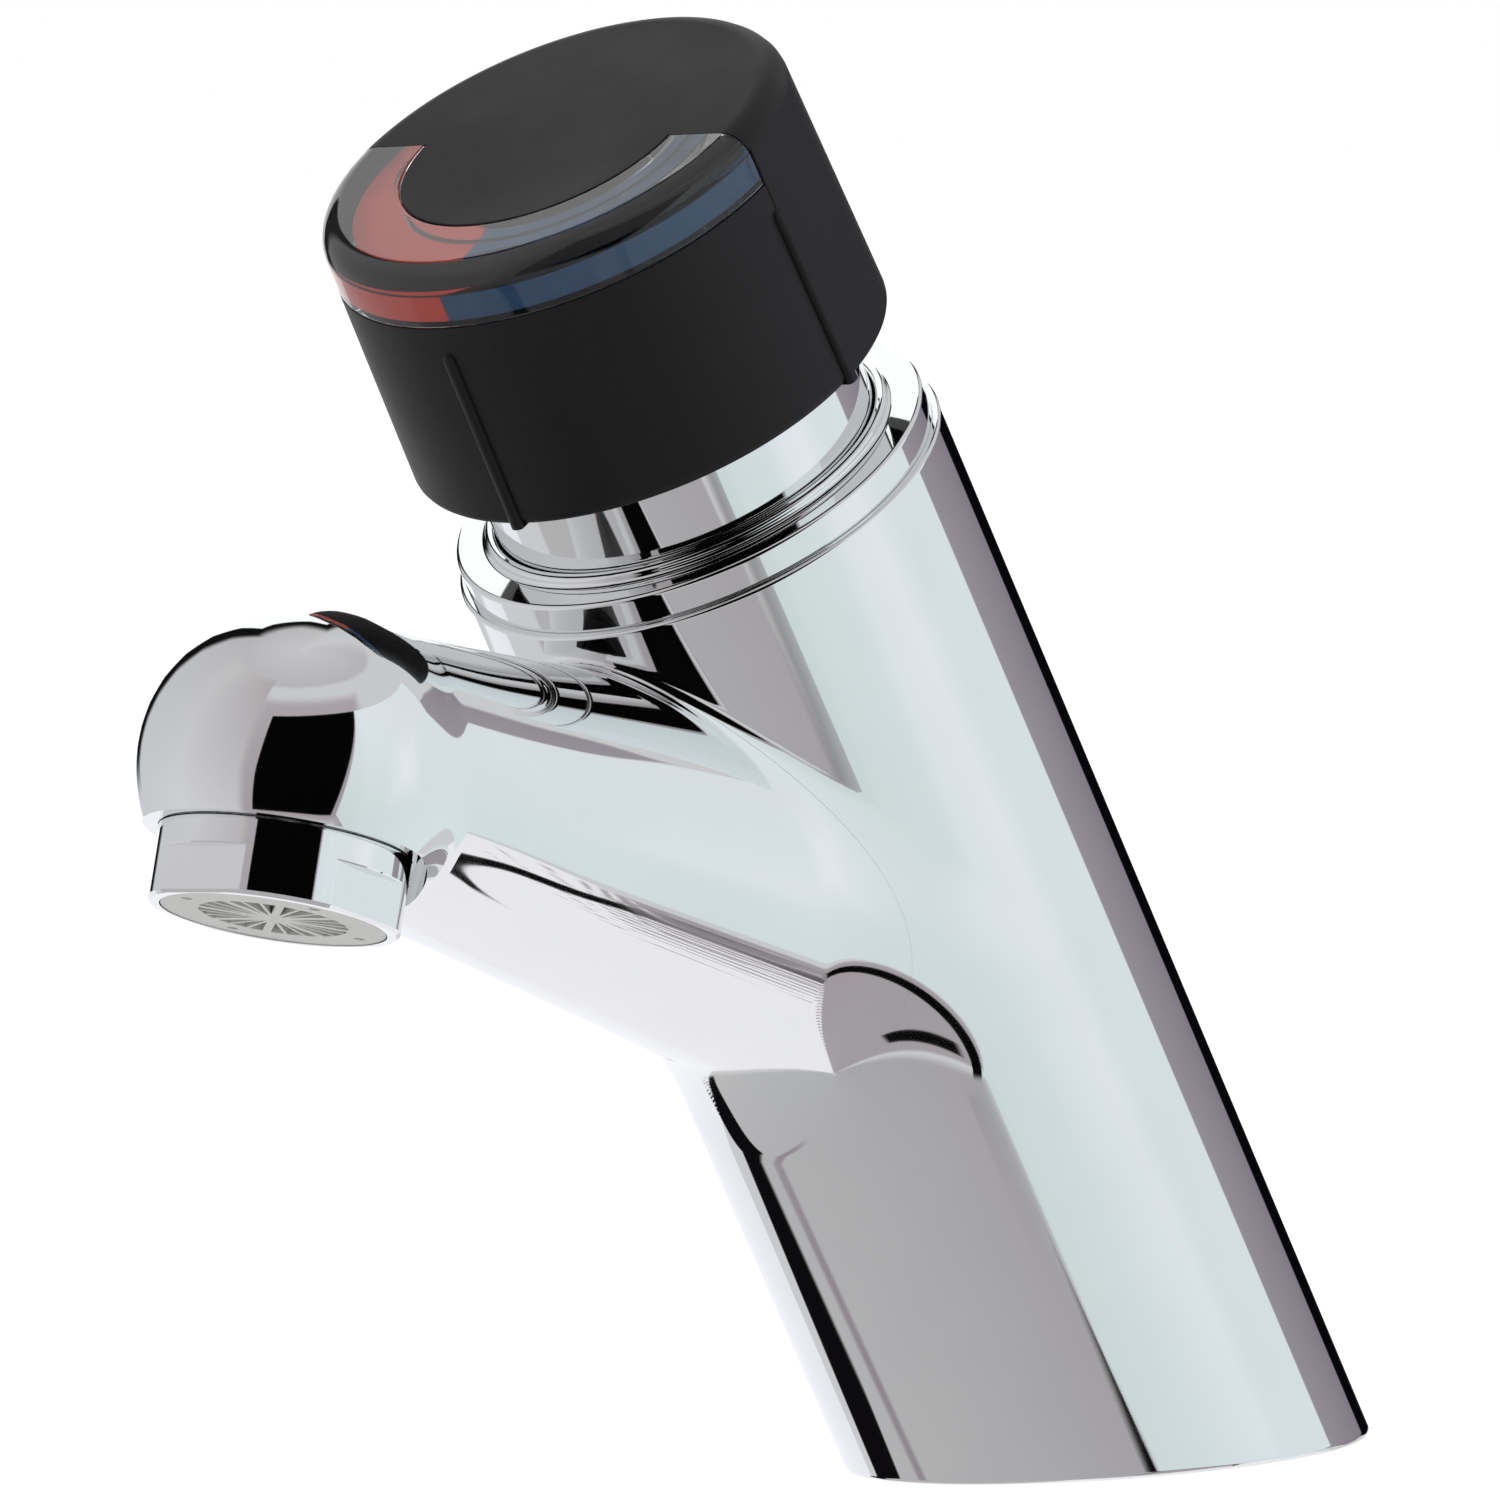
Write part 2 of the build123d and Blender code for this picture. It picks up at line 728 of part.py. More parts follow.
# Stem of the button, with its square ends, ring groove and clip groove
hub_top = hub_level + hub_thickness
washer_top = seat_level - seat_gap
washer_bottom = washer_top - washer_thickness
piston_bottom = piston_top_level - piston_thickness
with BuildPart() as push_stem:
    turn_ring(0, stem_radius, stem_bottom_level, hub_top)
    with BuildSketch(across(stem_bottom_level)):
        Circle(stem_radius + overrun)
        Rectangle(stem_square, stem_square, mode=Mode.SUBTRACT)
    extrude(amount=washer_bottom - washer_nut_thickness - stem_bottom_level, mode=Mode.SUBTRACT)
    with BuildSketch(across(hub_level)):
        Circle(stem_radius + overrun)
        Rectangle(stem_square, stem_square, mode=Mode.SUBTRACT)
    extrude(amount=hub_thickness, mode=Mode.SUBTRACT)
    turn_ring(
        stem_radius - clip_groove_depth,
        stem_radius + overrun,
        piston_top_level,
        piston_top_level + clip_thickness,
        mode=Mode.SUBTRACT,
    )
    with BuildSketch(across(hub_top)):
        Circle(stem_hole_radius)
    extrude(amount=-stem_hole_depth, mode=Mode.SUBTRACT)
finish(push_stem.part, "push_stem")

with BuildPart() as valve_washer:
    turn_ring(stem_radius, washer_radius, washer_bottom, washer_top)
finish(valve_washer.part, "valve_washer")

with BuildPart() as washer_nut:
    with BuildSketch(across(washer_bottom)):
        RegularPolygon(washer_nut_radius, 6)
        Circle(stem_radius, mode=Mode.SUBTRACT)
    extrude(amount=-washer_nut_thickness)
finish(washer_nut.part, "washer_nut")

# Timing piston, its lip seal, metering pin and retaining clip
piston_radius = timing_bore_radius - piston_gap
groove_bottom = piston_bottom + (piston_thickness - piston_groove_width) / 2
with BuildPart() as timing_piston:
    turn_ring(stem_radius, piston_radius, piston_bottom, piston_top_level)
    turn_ring(
        piston_radius - piston_groove_depth,
        piston_radius + overrun,
        groove_bottom,
        groove_bottom + piston_groove_width,
        mode=Mode.SUBTRACT,
    )
    with BuildSketch(across(piston_bottom)):
        with Locations((0, metering_pin_circle)):
            Circle(metering_pin_radius)
    extrude(amount=piston_thickness, mode=Mode.SUBTRACT)
finish(timing_piston.part, "timing_piston")

with BuildPart() as piston_seal:
    turn_ring(
        piston_radius - piston_groove_depth,
        timing_bore_radius - running_gap,
        groove_bottom,
        groove_bottom + piston_groove_width,
    )
finish(piston_seal.part, "piston_seal")

with BuildPart() as metering_pin:
    with BuildSketch(across(piston_bottom)):
        with Locations((0, metering_pin_circle)):
            Circle(metering_pin_radius)
    extrude(amount=piston_thickness)
finish(metering_pin.part, "metering_pin")

with BuildPart() as stem_clip:
    with BuildSketch(across(piston_top_level)):
        Circle(stem_radius + clip_width)
        Circle(stem_radius - clip_groove_depth, mode=Mode.SUBTRACT)
        with Locations((0, -stem_radius)):
            Rectangle(stem_radius, stem_radius * 2, mode=Mode.SUBTRACT)
    extrude(amount=clip_thickness)
finish(stem_clip.part, "stem_clip")

# Return spring between the cartridge nut and the hub
spring_height = hub_level - nut_top - spring_wire_radius * 2
with BuildPart() as return_spring:
    with BuildLine() as spring_path:
        Helix(
            spring_height / spring_turns,
            spring_height,
            spring_mean_radius,
            center=axis_dir * (nut_top + spring_wire_radius),
            direction=axis_dir,
        )
    with BuildSketch(
        Plane(origin=spring_path.line @ 0, z_dir=spring_path.line % 0)
    ) as spring_section:
        Circle(spring_wire_radius)
    sweep(spring_section.sketch, path=spring_path.line, is_frenet=True)
finish(return_spring.part, "return_spring")

# Sleeve and hub that carry the cap
with BuildPart() as push_sleeve:
    turn_ring(sleeve_radius - sleeve_wall, sleeve_radius, sleeve_bottom_level, cap_roof_level)
    chamfer(push_sleeve.edges().filter_by(GeomType.CIRCLE), sleeve_edge)
finish(push_sleeve.part, "push_sleeve")

with BuildPart() as push_hub:
    turn_ring(0, sleeve_radius - sleeve_wall, hub_level, hub_top)
    with BuildSketch(across(hub_level)):
        Rectangle(stem_square, stem_square)
        with PolarLocations(hub_window_circle, cap_screws_count, start_angle=hub_window_start_angle):
            Circle(hub_window_radius)
        with PolarLocations(cap_screw_circle, cap_screws_count, start_angle=cap_screw_start_angle):
            Circle(cap_screw_radius)
    extrude(amount=hub_thickness, mode=Mode.SUBTRACT)
finish(push_hub.part, "push_hub")

with BuildPart() as hub_screw:
    with BuildSketch(across(hub_top)):
        Circle(hub_screw_head_radius)
    extrude(amount=hub_screw_head_height)
    with BuildSketch(across(hub_top)):
        Circle(stem_hole_radius)
    extrude(amount=-hub_screw_length)
    with BuildSketch(across(hub_top + hub_screw_head_height)):
        RegularPolygon(hub_screw_key, 6)
    extrude(amount=-hub_screw_key, mode=Mode.SUBTRACT)
finish(hub_screw.part, "hub_screw")

with BuildPart() as cap_screws:
    with BuildSketch(across(hub_level)):
        with PolarLocations(cap_screw_circle, cap_screws_count, start_angle=cap_screw_start_angle):
            Circle(cap_screw_head_radius)
    extrude(amount=-cap_screw_head_height)
    with BuildSketch(across(hub_level)):
        with PolarLocations(cap_screw_circle, cap_screws_count, start_angle=cap_screw_start_angle):
            Circle(cap_screw_radius)
    extrude(amount=cap_screw_length)
finish(cap_screws.part, "cap_screws")

# Collar nut, the bush that guides the sleeve and the wiper under its lip
flange_top = shoulder_level + collar_height
lip_top = flange_top + collar_lip_height
lip_bottom = lip_top - collar_lip_thickness
wiper_bottom = lip_bottom - wiper_thickness
lip_bore = sleeve_radius + collar_lip_gap
with BuildPart() as collar_nut:
    turn(
        (bush_radius, collar_skirt_level),
        (collar_skirt_radius, collar_skirt_level),
        (collar_skirt_radius, shoulder_level),
        (collar_radius, shoulder_level),
        (collar_radius, flange_top),
        (collar_lip_radius, flange_top),
        (collar_lip_radius, lip_top),
        (lip_bore, lip_top),
        (lip_bore, lip_bottom),
        (bush_radius, lip_bottom),
    )
    fillet(
        collar_nut.edges().filter_by(
            lambda edge: abs((edge @ 0).dot(axis_dir) - lip_top) < running_gap
        ),
        collar_lip_round,
    )
    fillet(
        collar_nut.edges().filter_by(
            lambda edge: abs((edge @ 0).dot(axis_dir) - flange_top) < running_gap
            and axis_distance(edge @ 0) > collar_radius - running_gap
        ),
        collar_edge,
    )
finish(collar_nut.part, "collar_nut")

with BuildPart() as guide_bush:
    turn(
        (sleeve_radius + running_gap, collar_skirt_level - bush_flange_thickness),
        (bush_flange_radius, collar_skirt_level - bush_flange_thickness),
        (bush_flange_radius, collar_skirt_level),
        (bush_radius, collar_skirt_level),
        (bush_radius, wiper_bottom),
        (sleeve_radius + running_gap, wiper_bottom),
    )
finish(guide_bush.part, "guide_bush")

with BuildPart() as sleeve_wiper:
    turn_ring(sleeve_radius + running_gap, bush_radius, wiper_bottom, lip_bottom)
finish(sleeve_wiper.part, "sleeve_wiper")

# Cap: tapered moulding with grip ribs, a sleeve socket, screw bosses and the window recess
def cap_form():
    # outer form of the cap, shared by the moulding and its window
    with BuildSketch(along(0)) as outline:
        with BuildLine():
            Polyline(
                (0, cap_rim_level),
                (cap_rim_radius, cap_rim_level),
                (cap_top_radius, cap_top_level),
                (0, cap_top_level),
                close=True,
            )
        make_face()
        fillet(outline.vertices().group_by(Axis.Y)[0].sort_by(Axis.X)[-1], cap_rim_round)
        fillet(outline.vertices().group_by(Axis.Y)[-1].sort_by(Axis.X)[-1], cap_top_round)
    revolve(outline.sketch, axis=tap_axis)


def front_half_ring(inner, outer, setback):
    # half ring on the front side of the axis, cut off this far ahead of it
    Circle(outer)
    Circle(inner, mode=Mode.SUBTRACT)
    with Locations((0, outer - setback)):
        Rectangle(outer * 2, outer * 2, mode=Mode.SUBTRACT)


cap_taper = (cap_rim_radius - cap_top_radius) / (cap_top_level - cap_rim_level)
rib_top_radius = cap_top_radius + cap_taper * (cap_top_level - rib_top_level)
with BuildPart() as push_cap:
    cap_form()
    for rib in range(rib_count):
        with BuildSketch(along(rib * 360 / rib_count)):
            with BuildLine():
                Polyline(
                    (cap_cavity_radius + rib_root, cap_rim_level),
                    (cap_rim_radius + rib_height, cap_rim_level),
                    (rib_top_radius + rib_height, rib_top_level - rib_height),
                    (rib_top_radius, rib_top_level),
                    (cap_cavity_radius + rib_root, rib_top_level),
                    close=True,
                )
            make_face()
        extrude(amount=rib_width / 2, both=True)
    turn(
        (0, cap_rim_level - overrun),
        (cap_cavity_radius, cap_rim_level - overrun),
        (cap_cavity_radius, cap_roof_level),
        (cap_socket_radius, cap_roof_level),
        (cap_socket_radius, cap_socket_level),
        (sleeve_radius, cap_socket_level),
        (sleeve_radius, cap_roof_level),
        (cap_core_radius, cap_roof_level),
        (cap_core_radius, cap_core_level),
        (0, cap_core_level),
        mode=Mode.SUBTRACT,
    )
    with BuildSketch(across(hub_top)):
        with PolarLocations(cap_screw_circle, cap_screws_count, start_angle=cap_screw_start_angle):
            Circle(cap_boss_radius)
    extrude(amount=cap_core_level - hub_top)
    with BuildSketch(across(hub_top)):
        with PolarLocations(cap_screw_circle, cap_screws_count, start_angle=cap_screw_start_angle):
            Circle(cap_screw_radius)
    extrude(amount=hub_level + cap_screw_length + fit_gap - hub_top, mode=Mode.SUBTRACT)
    with BuildSketch(across(window_level)):
        front_half_ring(window_radius, cap_rim_radius + overrun, 0)
    extrude(amount=cap_top_level - window_level + overrun, mode=Mode.SUBTRACT)
finish(push_cap.part, "push_cap")

# Coloured pieces: a crescent on the floor of the recess, broad at the hot end, and an
# upright band behind the side of the window, each in a hot and a cold half
band_inner = cap_top_radius - strip_band_inset
band_outer = band_inner + strip_thickness


def from_front(radius, angle):
    # point on a plane square to the axis, at this angle from the front
    return (radius * sin(radians(angle)), -radius * cos(radians(angle)))


def crescent(grow):
    # crescent outline, grown all round by a clearance
    inner = strip_inner_radius - grow
    hot_end = (-strip_inner_radius - hot_end_width - grow, 0)
    cold_end = (strip_inner_radius + cold_end_width + grow, 0)
    change = from_front(strip_inner_radius + strip_change_width + grow, strip_change_angle)
    with BuildLine() as edge:
        CenterArc((0, 0), inner, 180, 180)
        Line((inner, 0), cold_end)
        ThreePointArc(cold_end, change, hot_end)
        Line(hot_end, (-inner, 0))
    make_face(edge.line)


def colour_side(side):
    # keeps one side of the line where the colours change; -1 is hot, 1 is cold
    reach = cap_rim_radius * 2
    Polygon(
        (0, 0),
        from_front(reach, strip_change_angle),
        from_front(reach * 2, side * 45),
        from_front(reach, side * 90),
        align=None,
        mode=Mode.INTERSECT,
    )


def colour_crescent(side):
    with BuildSketch(across(window_level)) as floor_strip:
        crescent(0)
        colour_side(side)
    extrude(floor_strip.sketch, amount=strip_thickness)


def colour_band(side):
    with BuildSketch(across(window_level)) as band:
        Circle(band_outer)
        Circle(band_inner, mode=Mode.SUBTRACT)
        colour_side(side)
    extrude(band.sketch, amount=strip_band_height)


with BuildPart() as hot_crescent:
    colour_crescent(-1)
finish(hot_crescent.part, "hot_crescent")

with BuildPart() as cold_crescent:
    colour_crescent(1)
finish(cold_crescent.part, "cold_crescent")

with BuildPart() as hot_band:
    colour_band(-1)
finish(hot_band.part, "hot_band")

with BuildPart() as cold_band:
    colour_band(1)
finish(cold_band.part, "cold_band")

# Clear window, moulded to the form of the cap and hollowed for the coloured pieces
with BuildPart() as cap_window:
    cap_form()
    with BuildSketch(across(window_level)):
        front_half_ring(window_radius + window_gap, cap_rim_radius + overrun, window_gap)
    extrude(amount=cap_top_level - window_level + overrun, mode=Mode.INTERSECT)
    with BuildSketch(across(window_level)) as pocket:
        crescent(window_gap)
    extrude(pocket.sketch, amount=strip_thickness + window_gap, mode=Mode.SUBTRACT)
    with BuildSketch(across(window_level)) as slot:
        Circle(band_outer + window_gap)
        Circle(band_inner - window_gap, mode=Mode.SUBTRACT)
    extrude(slot.sketch, amount=strip_band_height + window_gap, mode=Mode.SUBTRACT)
finish(cap_window.part, "cap_window")


# Aerator: chrome housing, washer, filter, flow regulator, screen and star grille
def outlet_ring(inner, outer, top, bottom, mode=Mode.ADD):
    turn_ring(inner, outer, top, bottom, plane=outlet_along, axis=outlet_axis, mode=mode)


star_top = aerator_drop - aerator_rim_depth
screen_top = star_top - screen_thickness
regulator_top = screen_top - regulator_thickness
filter_flange_top = regulator_top - filter_wall
cartridge_fit_radius = aerator_bore_radius - seat_gap
with BuildPart() as aerator_housing:
    turn(
        (aerator_bore_radius, -aerator_thread_length),
        (outlet_thread_radius - fit_gap, -aerator_thread_length),
        (outlet_thread_radius - fit_gap, 0),
        (aerator_radius, 0),
        (aerator_radius, aerator_drop - aerator_edge),
        (aerator_radius - aerator_edge, aerator_drop),
        (aerator_rim_radius, aerator_drop),
        (aerator_rim_radius, star_top),
        (aerator_bore_radius, star_top),
        plane=outlet_along,
        axis=outlet_axis,
    )
    with BuildSketch(outlet_across(aerator_drop - wrench_height)):
        Circle(aerator_radius + overrun)
        Rectangle(wrench_size, wrench_size, mode=Mode.SUBTRACT)
    extrude(amount=wrench_height + overrun, mode=Mode.SUBTRACT)
finish(aerator_housing.part, "aerator_housing")

with BuildPart() as outlet_washer:
    outlet_ring(
        outlet_washer_bore,
        outlet_thread_radius - fit_gap,
        -outlet_thread_depth,
        -aerator_thread_length,
    )
finish(outlet_washer.part, "outlet_washer")

with BuildPart() as aerator_filter:
    turn(
        (0, -aerator_thread_length),
        (filter_top_radius, -aerator_thread_length),
        (filter_base_radius, filter_flange_top),
        (cartridge_fit_radius, filter_flange_top),
        (cartridge_fit_radius, regulator_top),
        (filter_base_radius - filter_wall, regulator_top),
        (filter_top_radius - filter_wall, -aerator_thread_length + filter_wall),
        (0, -aerator_thread_length + filter_wall),
        plane=outlet_along,
        axis=outlet_axis,
    )
finish(aerator_filter.part, "aerator_filter")

with BuildPart() as flow_regulator:
    outlet_ring(0, cartridge_fit_radius, regulator_top, screen_top)
    with BuildSketch(outlet_across(regulator_top)):
        with PolarLocations(regulator_slot_circle, regulator_slots):
            SlotOverall(regulator_slot_length, regulator_slot_width)
    extrude(amount=regulator_thickness, mode=Mode.SUBTRACT)
finish(flow_regulator.part, "flow_regulator")

with BuildPart() as aerator_screen:
    outlet_ring(0, cartridge_fit_radius, screen_top, star_top)
    with BuildSketch(outlet_across(screen_top)):
        Circle(screen_hole_radius)
        for row in range(1, screen_rows + 1):
            with PolarLocations(screen_hole_spacing * row, 6 * row):
                Circle(screen_hole_radius)
    extrude(amount=screen_thickness, mode=Mode.SUBTRACT)
finish(aerator_screen.part, "aerator_screen")

with BuildPart() as aerator_star:
    outlet_ring(star_grille_radius, aerator_rim_radius - fit_gap, star_top, star_top + star_thickness)
    with BuildSketch(outlet_across(star_top)):
        Circle(star_hub_radius)
        with PolarLocations(0, star_spokes):
            with Locations((star_grille_radius / 2, 0)):
                Rectangle(star_grille_radius + star_spoke_width, star_spoke_width)
        for fin in range(1, star_fins + 1):
            fin_angle = 360 / star_spokes * fin / (star_fins + 1)
            with PolarLocations(0, star_spokes, start_angle=fin_angle):
                with Locations((star_grille_radius / 2, 0)):
                    Rectangle(star_grille_radius + star_spoke_width, star_fin_width)
    extrude(amount=star_thickness)
    with BuildSketch(outlet_across(star_top + star_thickness)):
        with PolarLocations(star_mark_circle, star_marks, start_angle=star_mark_start_angle):
            Circle(star_mark_radius)
    extrude(amount=-star_mark_depth, mode=Mode.SUBTRACT)
finish(aerator_star.part, "aerator_star")
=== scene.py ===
import json
from math import cos, pi, radians, sin

import bpy
import numpy as np
from mathutils import Matrix, Vector


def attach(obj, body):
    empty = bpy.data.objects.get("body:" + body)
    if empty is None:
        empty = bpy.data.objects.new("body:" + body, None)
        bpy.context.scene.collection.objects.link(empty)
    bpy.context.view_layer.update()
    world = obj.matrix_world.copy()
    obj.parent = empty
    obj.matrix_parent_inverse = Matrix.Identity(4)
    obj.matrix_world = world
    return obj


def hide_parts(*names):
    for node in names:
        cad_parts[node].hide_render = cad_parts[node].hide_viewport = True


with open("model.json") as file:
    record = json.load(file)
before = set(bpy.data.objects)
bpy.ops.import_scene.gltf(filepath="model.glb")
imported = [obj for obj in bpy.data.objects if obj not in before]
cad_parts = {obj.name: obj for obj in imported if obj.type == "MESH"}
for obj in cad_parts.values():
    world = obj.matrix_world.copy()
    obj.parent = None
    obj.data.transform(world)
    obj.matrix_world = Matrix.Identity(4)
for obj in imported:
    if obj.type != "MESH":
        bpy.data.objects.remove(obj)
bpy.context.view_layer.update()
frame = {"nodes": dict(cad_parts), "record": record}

# Shapes are worked out in millimetres and turned to metres where a mesh is made.
# A level is a height along the leaning axis of the tap, as in the CAD source, and a turn is an angle
# round that axis from the front towards the right.
mm = 0.001
lean = radians(30)
rightDir = np.array([1.0, 0.0, 0.0])
axisDir = np.array([0.0, -sin(lean), cos(lean)])
frontDir = np.array([0.0, -cos(lean), -sin(lean)])
downDir = np.array([0.0, 0.0, -1.0])
bothEnds = ((0, -1), (-1, 1))  # first and last row of a sweep, with the sense of its outward normal


def unit(v):
    v = np.asarray(v, float)
    return v / np.linalg.norm(v, axis=-1, keepdims=True)


def smooth(t):
    # 0 below 0, 1 above 1 and 3 t^2 - 2 t^3 between them
    t = np.clip(t, 0, 1)
    return t * t * (3 - 2 * t)


def swung(a, b, t):
    # direction that turns evenly from a to b as t goes from 0 to 1:
    # (sin((1 - t) w) a + sin(t w) b) / sin(w), where w is the angle between them
    w = np.arccos(np.clip((a * b).sum(-1, keepdims=True), -1, 1))
    return (np.sin((1 - t) * w) * a + np.sin(t * w) * b) / np.sin(w)


def ringDirs(turns):
    # directions straight away from the leaning axis: cos * front + sin * right
    return np.cos(turns)[:, None] * frontDir + np.sin(turns)[:, None] * rightDir


def endNormal(turn, sign):
    # direction of travel at one end of a sweep, pointing out of the piece
    return sign * (np.cos(turn) * rightDir - np.sin(turn) * frontDir)


def gridQuads(rows, cols):
    # numbers of the four points round each cell of a grid
    index = np.arange(rows * cols).reshape(rows, cols)
    return np.stack([index[:-1, :-1], index[1:, :-1], index[1:, 1:], index[:-1, 1:]], -1).reshape(-1, 4)


def inScene(name, data):
    thing = bpy.data.objects.new(name, data)
    bpy.context.scene.collection.objects.link(thing)
    return thing


# meshes from grids of points
def assemble(name, patches):
    # patches are (points, normals) grids; quads join neighbouring points, coincident points
    # are welded, and every face corner keeps the normal that its patch gave it
    points, normals, quads, start = [], [], [], 0
    for grid, normal in patches:
        local = gridQuads(*grid.shape[:2])
        flat, flatNormal = grid.reshape(-1, 3), normal.reshape(-1, 3)
        facing = np.cross(flat[local[:, 2]] - flat[local[:, 0]], flat[local[:, 3]] - flat[local[:, 1]])
        if (facing * flatNormal[local].mean(1)).sum() < 0:
            local = local[:, ::-1]
        points.append(flat)
        normals.append(flatNormal)
        quads.append(local + start)
        start += len(flat)
    points, normals, quads = np.concatenate(points), np.concatenate(normals), np.concatenate(quads)
    _, first, welded = np.unique(np.round(points, 4), axis=0, return_index=True, return_inverse=True)
    corner = welded.reshape(-1)[quads]
    same = corner == np.roll(corner, -1, axis=1)
    whole = ~same.any(1) & (corner[:, 0] != corner[:, 2]) & (corner[:, 1] != corner[:, 3])
    faces = corner[whole].tolist()
    loopNormals = [normals[quads[whole]].reshape(-1, 3)]
    for k in range(4):  # a quad with one side gone is a triangle
        three = same[:, k] & (same.sum(1) == 1)
        keep = [c for c in range(4) if c != k]
        faces += corner[three][:, keep].tolist()
        loopNormals.append(normals[quads[three][:, keep]].reshape(-1, 3))
    mesh = bpy.data.meshes.new(name)
    mesh.from_pydata((points[first] * mm).tolist(), [], faces)
    mesh.polygons.foreach_set("use_smooth", np.ones(len(faces), bool))
    mesh.normals_split_custom_set(unit(np.concatenate(loopNormals)).tolist())
    mesh.update()
    return inScene(name, mesh)


def roundedOutline(corners, closed=True, steps=6):
    # (x, y, radius) corners joined by straight runs; each corner is an arc of its radius.
    # Gives the points with their outward normals; the outline goes counter-clockwise
    runs = []
    count = len(corners)
    xy = np.array([c[:2] for c in corners], float)
    for i in range(count):
        a, b, c = xy[i - 1], xy[i], xy[(i + 1) % count]
        if not closed and i in (0, count - 1):
            runs.append((b[None], np.zeros((1, 2))))
            continue
        u, v = unit(a - b), unit(c - b)
        half = np.arccos(np.clip(u @ v, -1, 1)) / 2
        radius = max(corners[i][2], 1e-4)
        reach = min(radius / np.tan(half), 0.49 * min(np.linalg.norm(a - b), np.linalg.norm(c - b)))
        radius = reach * np.tan(half)
        centre = b + unit(u + v) * radius / sin(half)
        n0, n1 = unit(b + u * reach - centre), unit(b + v * reach - centre)
        n = swung(n0, n1, np.linspace(0, 1, steps)[:, None])
        hollow = np.cross(b - a, c - b) < 0  # an inner corner's normals look to its centre
        runs.append((centre + n * radius, -n if hollow else n))
    points = np.concatenate([p for p, n in runs])
    normals = np.concatenate([n for p, n in runs])
    if closed:
        return np.vstack([points, points[:1]]), np.vstack([normals, normals[:1]])
    for end, run in ((0, points[1] - points[0]), (-1, points[-1] - points[-2])):
        normals[end] = unit([run[1], -run[0]])
    return points, normals


def swept(points, normals, turns):
    # surface of revolution: point = level * axis + radius * (cos * front + sin * right)
    ring = ringDirs(turns)[:, None]
    grid = points[None, :, 1, None] * axisDir + points[None, :, 0, None] * ring
    normal = normals[None, :, 1, None] * axisDir + normals[None, :, 0, None] * ring
    return grid, normal


def turned(corners, turns, closed=True):
    # (radius, level, corner radius) outline turned round the leaning axis
    return swept(*roundedOutline(corners, closed), turns)


def strip(rows, normal):
    # a grid of given rows with a normal for each point or one for all
    grid = np.stack(rows, 0)
    return grid, np.broadcast_to(np.asarray(normal, float), grid.shape).copy()


# colours and nodes
def colour(hexCode, alpha=1.0):
    # sRGB hex to linear
    srgb = np.array([int(hexCode[i:i + 2], 16) for i in (1, 3, 5)]) / 255
    linear = np.where(srgb <= 0.04045, srgb / 12.92, ((srgb + 0.055) / 1.055) ** 2.4)
    return (*linear.tolist(), alpha)


def addNode(material, kind, settings=None, links=None):
    # one node with its settings; links maps an input to (node, output)
    tree = material.node_tree
    node = tree.nodes.new(kind)
    for key, value in (settings or {}).items():
        if isinstance(key, int) or key in node.inputs:
            node.inputs[key].default_value = value
        else:
            setattr(node, key, value)
    for key, (source, output) in (links or {}).items():
        tree.links.new(source.outputs[output], node.inputs[key])
    return node


def emptyNodes(holder):
    holder.use_nodes = True
    holder.node_tree.nodes.clear()
    return holder


def newMaterial(name, settings):
    material = emptyNodes(bpy.data.materials.new(name))
    shader = addNode(material, "ShaderNodeBsdfPrincipled", settings)
    addNode(material, "ShaderNodeOutputMaterial", links={"Surface": (shader, "BSDF")})
    place = addNode(material, "ShaderNodeTexCoord")
    return material, shader, place


def finishSkin(material, shader, place, size, detail=2.0, depth=None, rough=None, tones=None):
    # one noise, whose grain is size mm across, makes what is asked for: a relief of depth mm, a
    # roughness spread between two values, and a colour that drifts between two tones
    links = material.node_tree.links
    noise = addNode(material, "ShaderNodeTexNoise", {"Scale": 1 / (size * mm), "Detail": detail},
                    {"Vector": (place, "Object")})
    if depth:
        relief = addNode(material, "ShaderNodeBump", {"Distance": depth * mm}, {"Height": (noise, "Fac")})
        links.new(relief.outputs["Normal"], shader.inputs["Normal"])
    if rough:  # the noise keeps mostly between 0.3 and 0.7
        spread = addNode(material, "ShaderNodeMapRange",
                         {"From Min": 0.3, "From Max": 0.7, "To Min": rough[0], "To Max": rough[1]},
                         {"Value": (noise, "Fac")})
        links.new(spread.outputs["Result"], shader.inputs["Roughness"])
    if tones:
        drift = addNode(material, "ShaderNodeMix",
                        {"data_type": "RGBA", 6: colour(tones[0]), 7: colour(tones[1])},
                        {0: (noise, "Fac")})
        links.new(drift.outputs[2], shader.inputs["Base Color"])


def polishedChrome():
    # nickel-chrome plating on polished brass: a cool mirror with the faintest polishing haze
    m, s, p = newMaterial("polishedChromePlating", {"Metallic": 1.0})
    finishSkin(m, s, p, 9.0, 3.0, rough=(0.02, 0.045), tones=("#e6e9ea", "#eceeee"))
    return m


def mouldedAbs():
    # spark-eroded ABS: near black, a soft wide sheen broken by a fine even grain;
    # the real grain is near 0.1 mm and is drawn at 0.22 mm so that it shows
    m, s, p = newMaterial("blackAbsFineGrain", {"Specular IOR Level": 0.26})
    finishSkin(m, s, p, 0.22, depth=0.016, tones=("#0d0b0e", "#171518"))
    finishSkin(m, s, p, 14.0, 3.0, rough=(0.46, 0.54))
    return m


def clearAcrylic():
    # injection-moulded PMMA: water clear with a polished skin and faint flow lines
    m, s, p = newMaterial("clearAcrylicMoulded", {
        "Base Color": colour("#f7fafb"), "Roughness": 0.015, "IOR": 1.49,
        "Specular IOR Level": 0.3, "Transmission Weight": 1.0})
    finishSkin(m, s, p, 6.0, 1.0, depth=0.01)
    return m


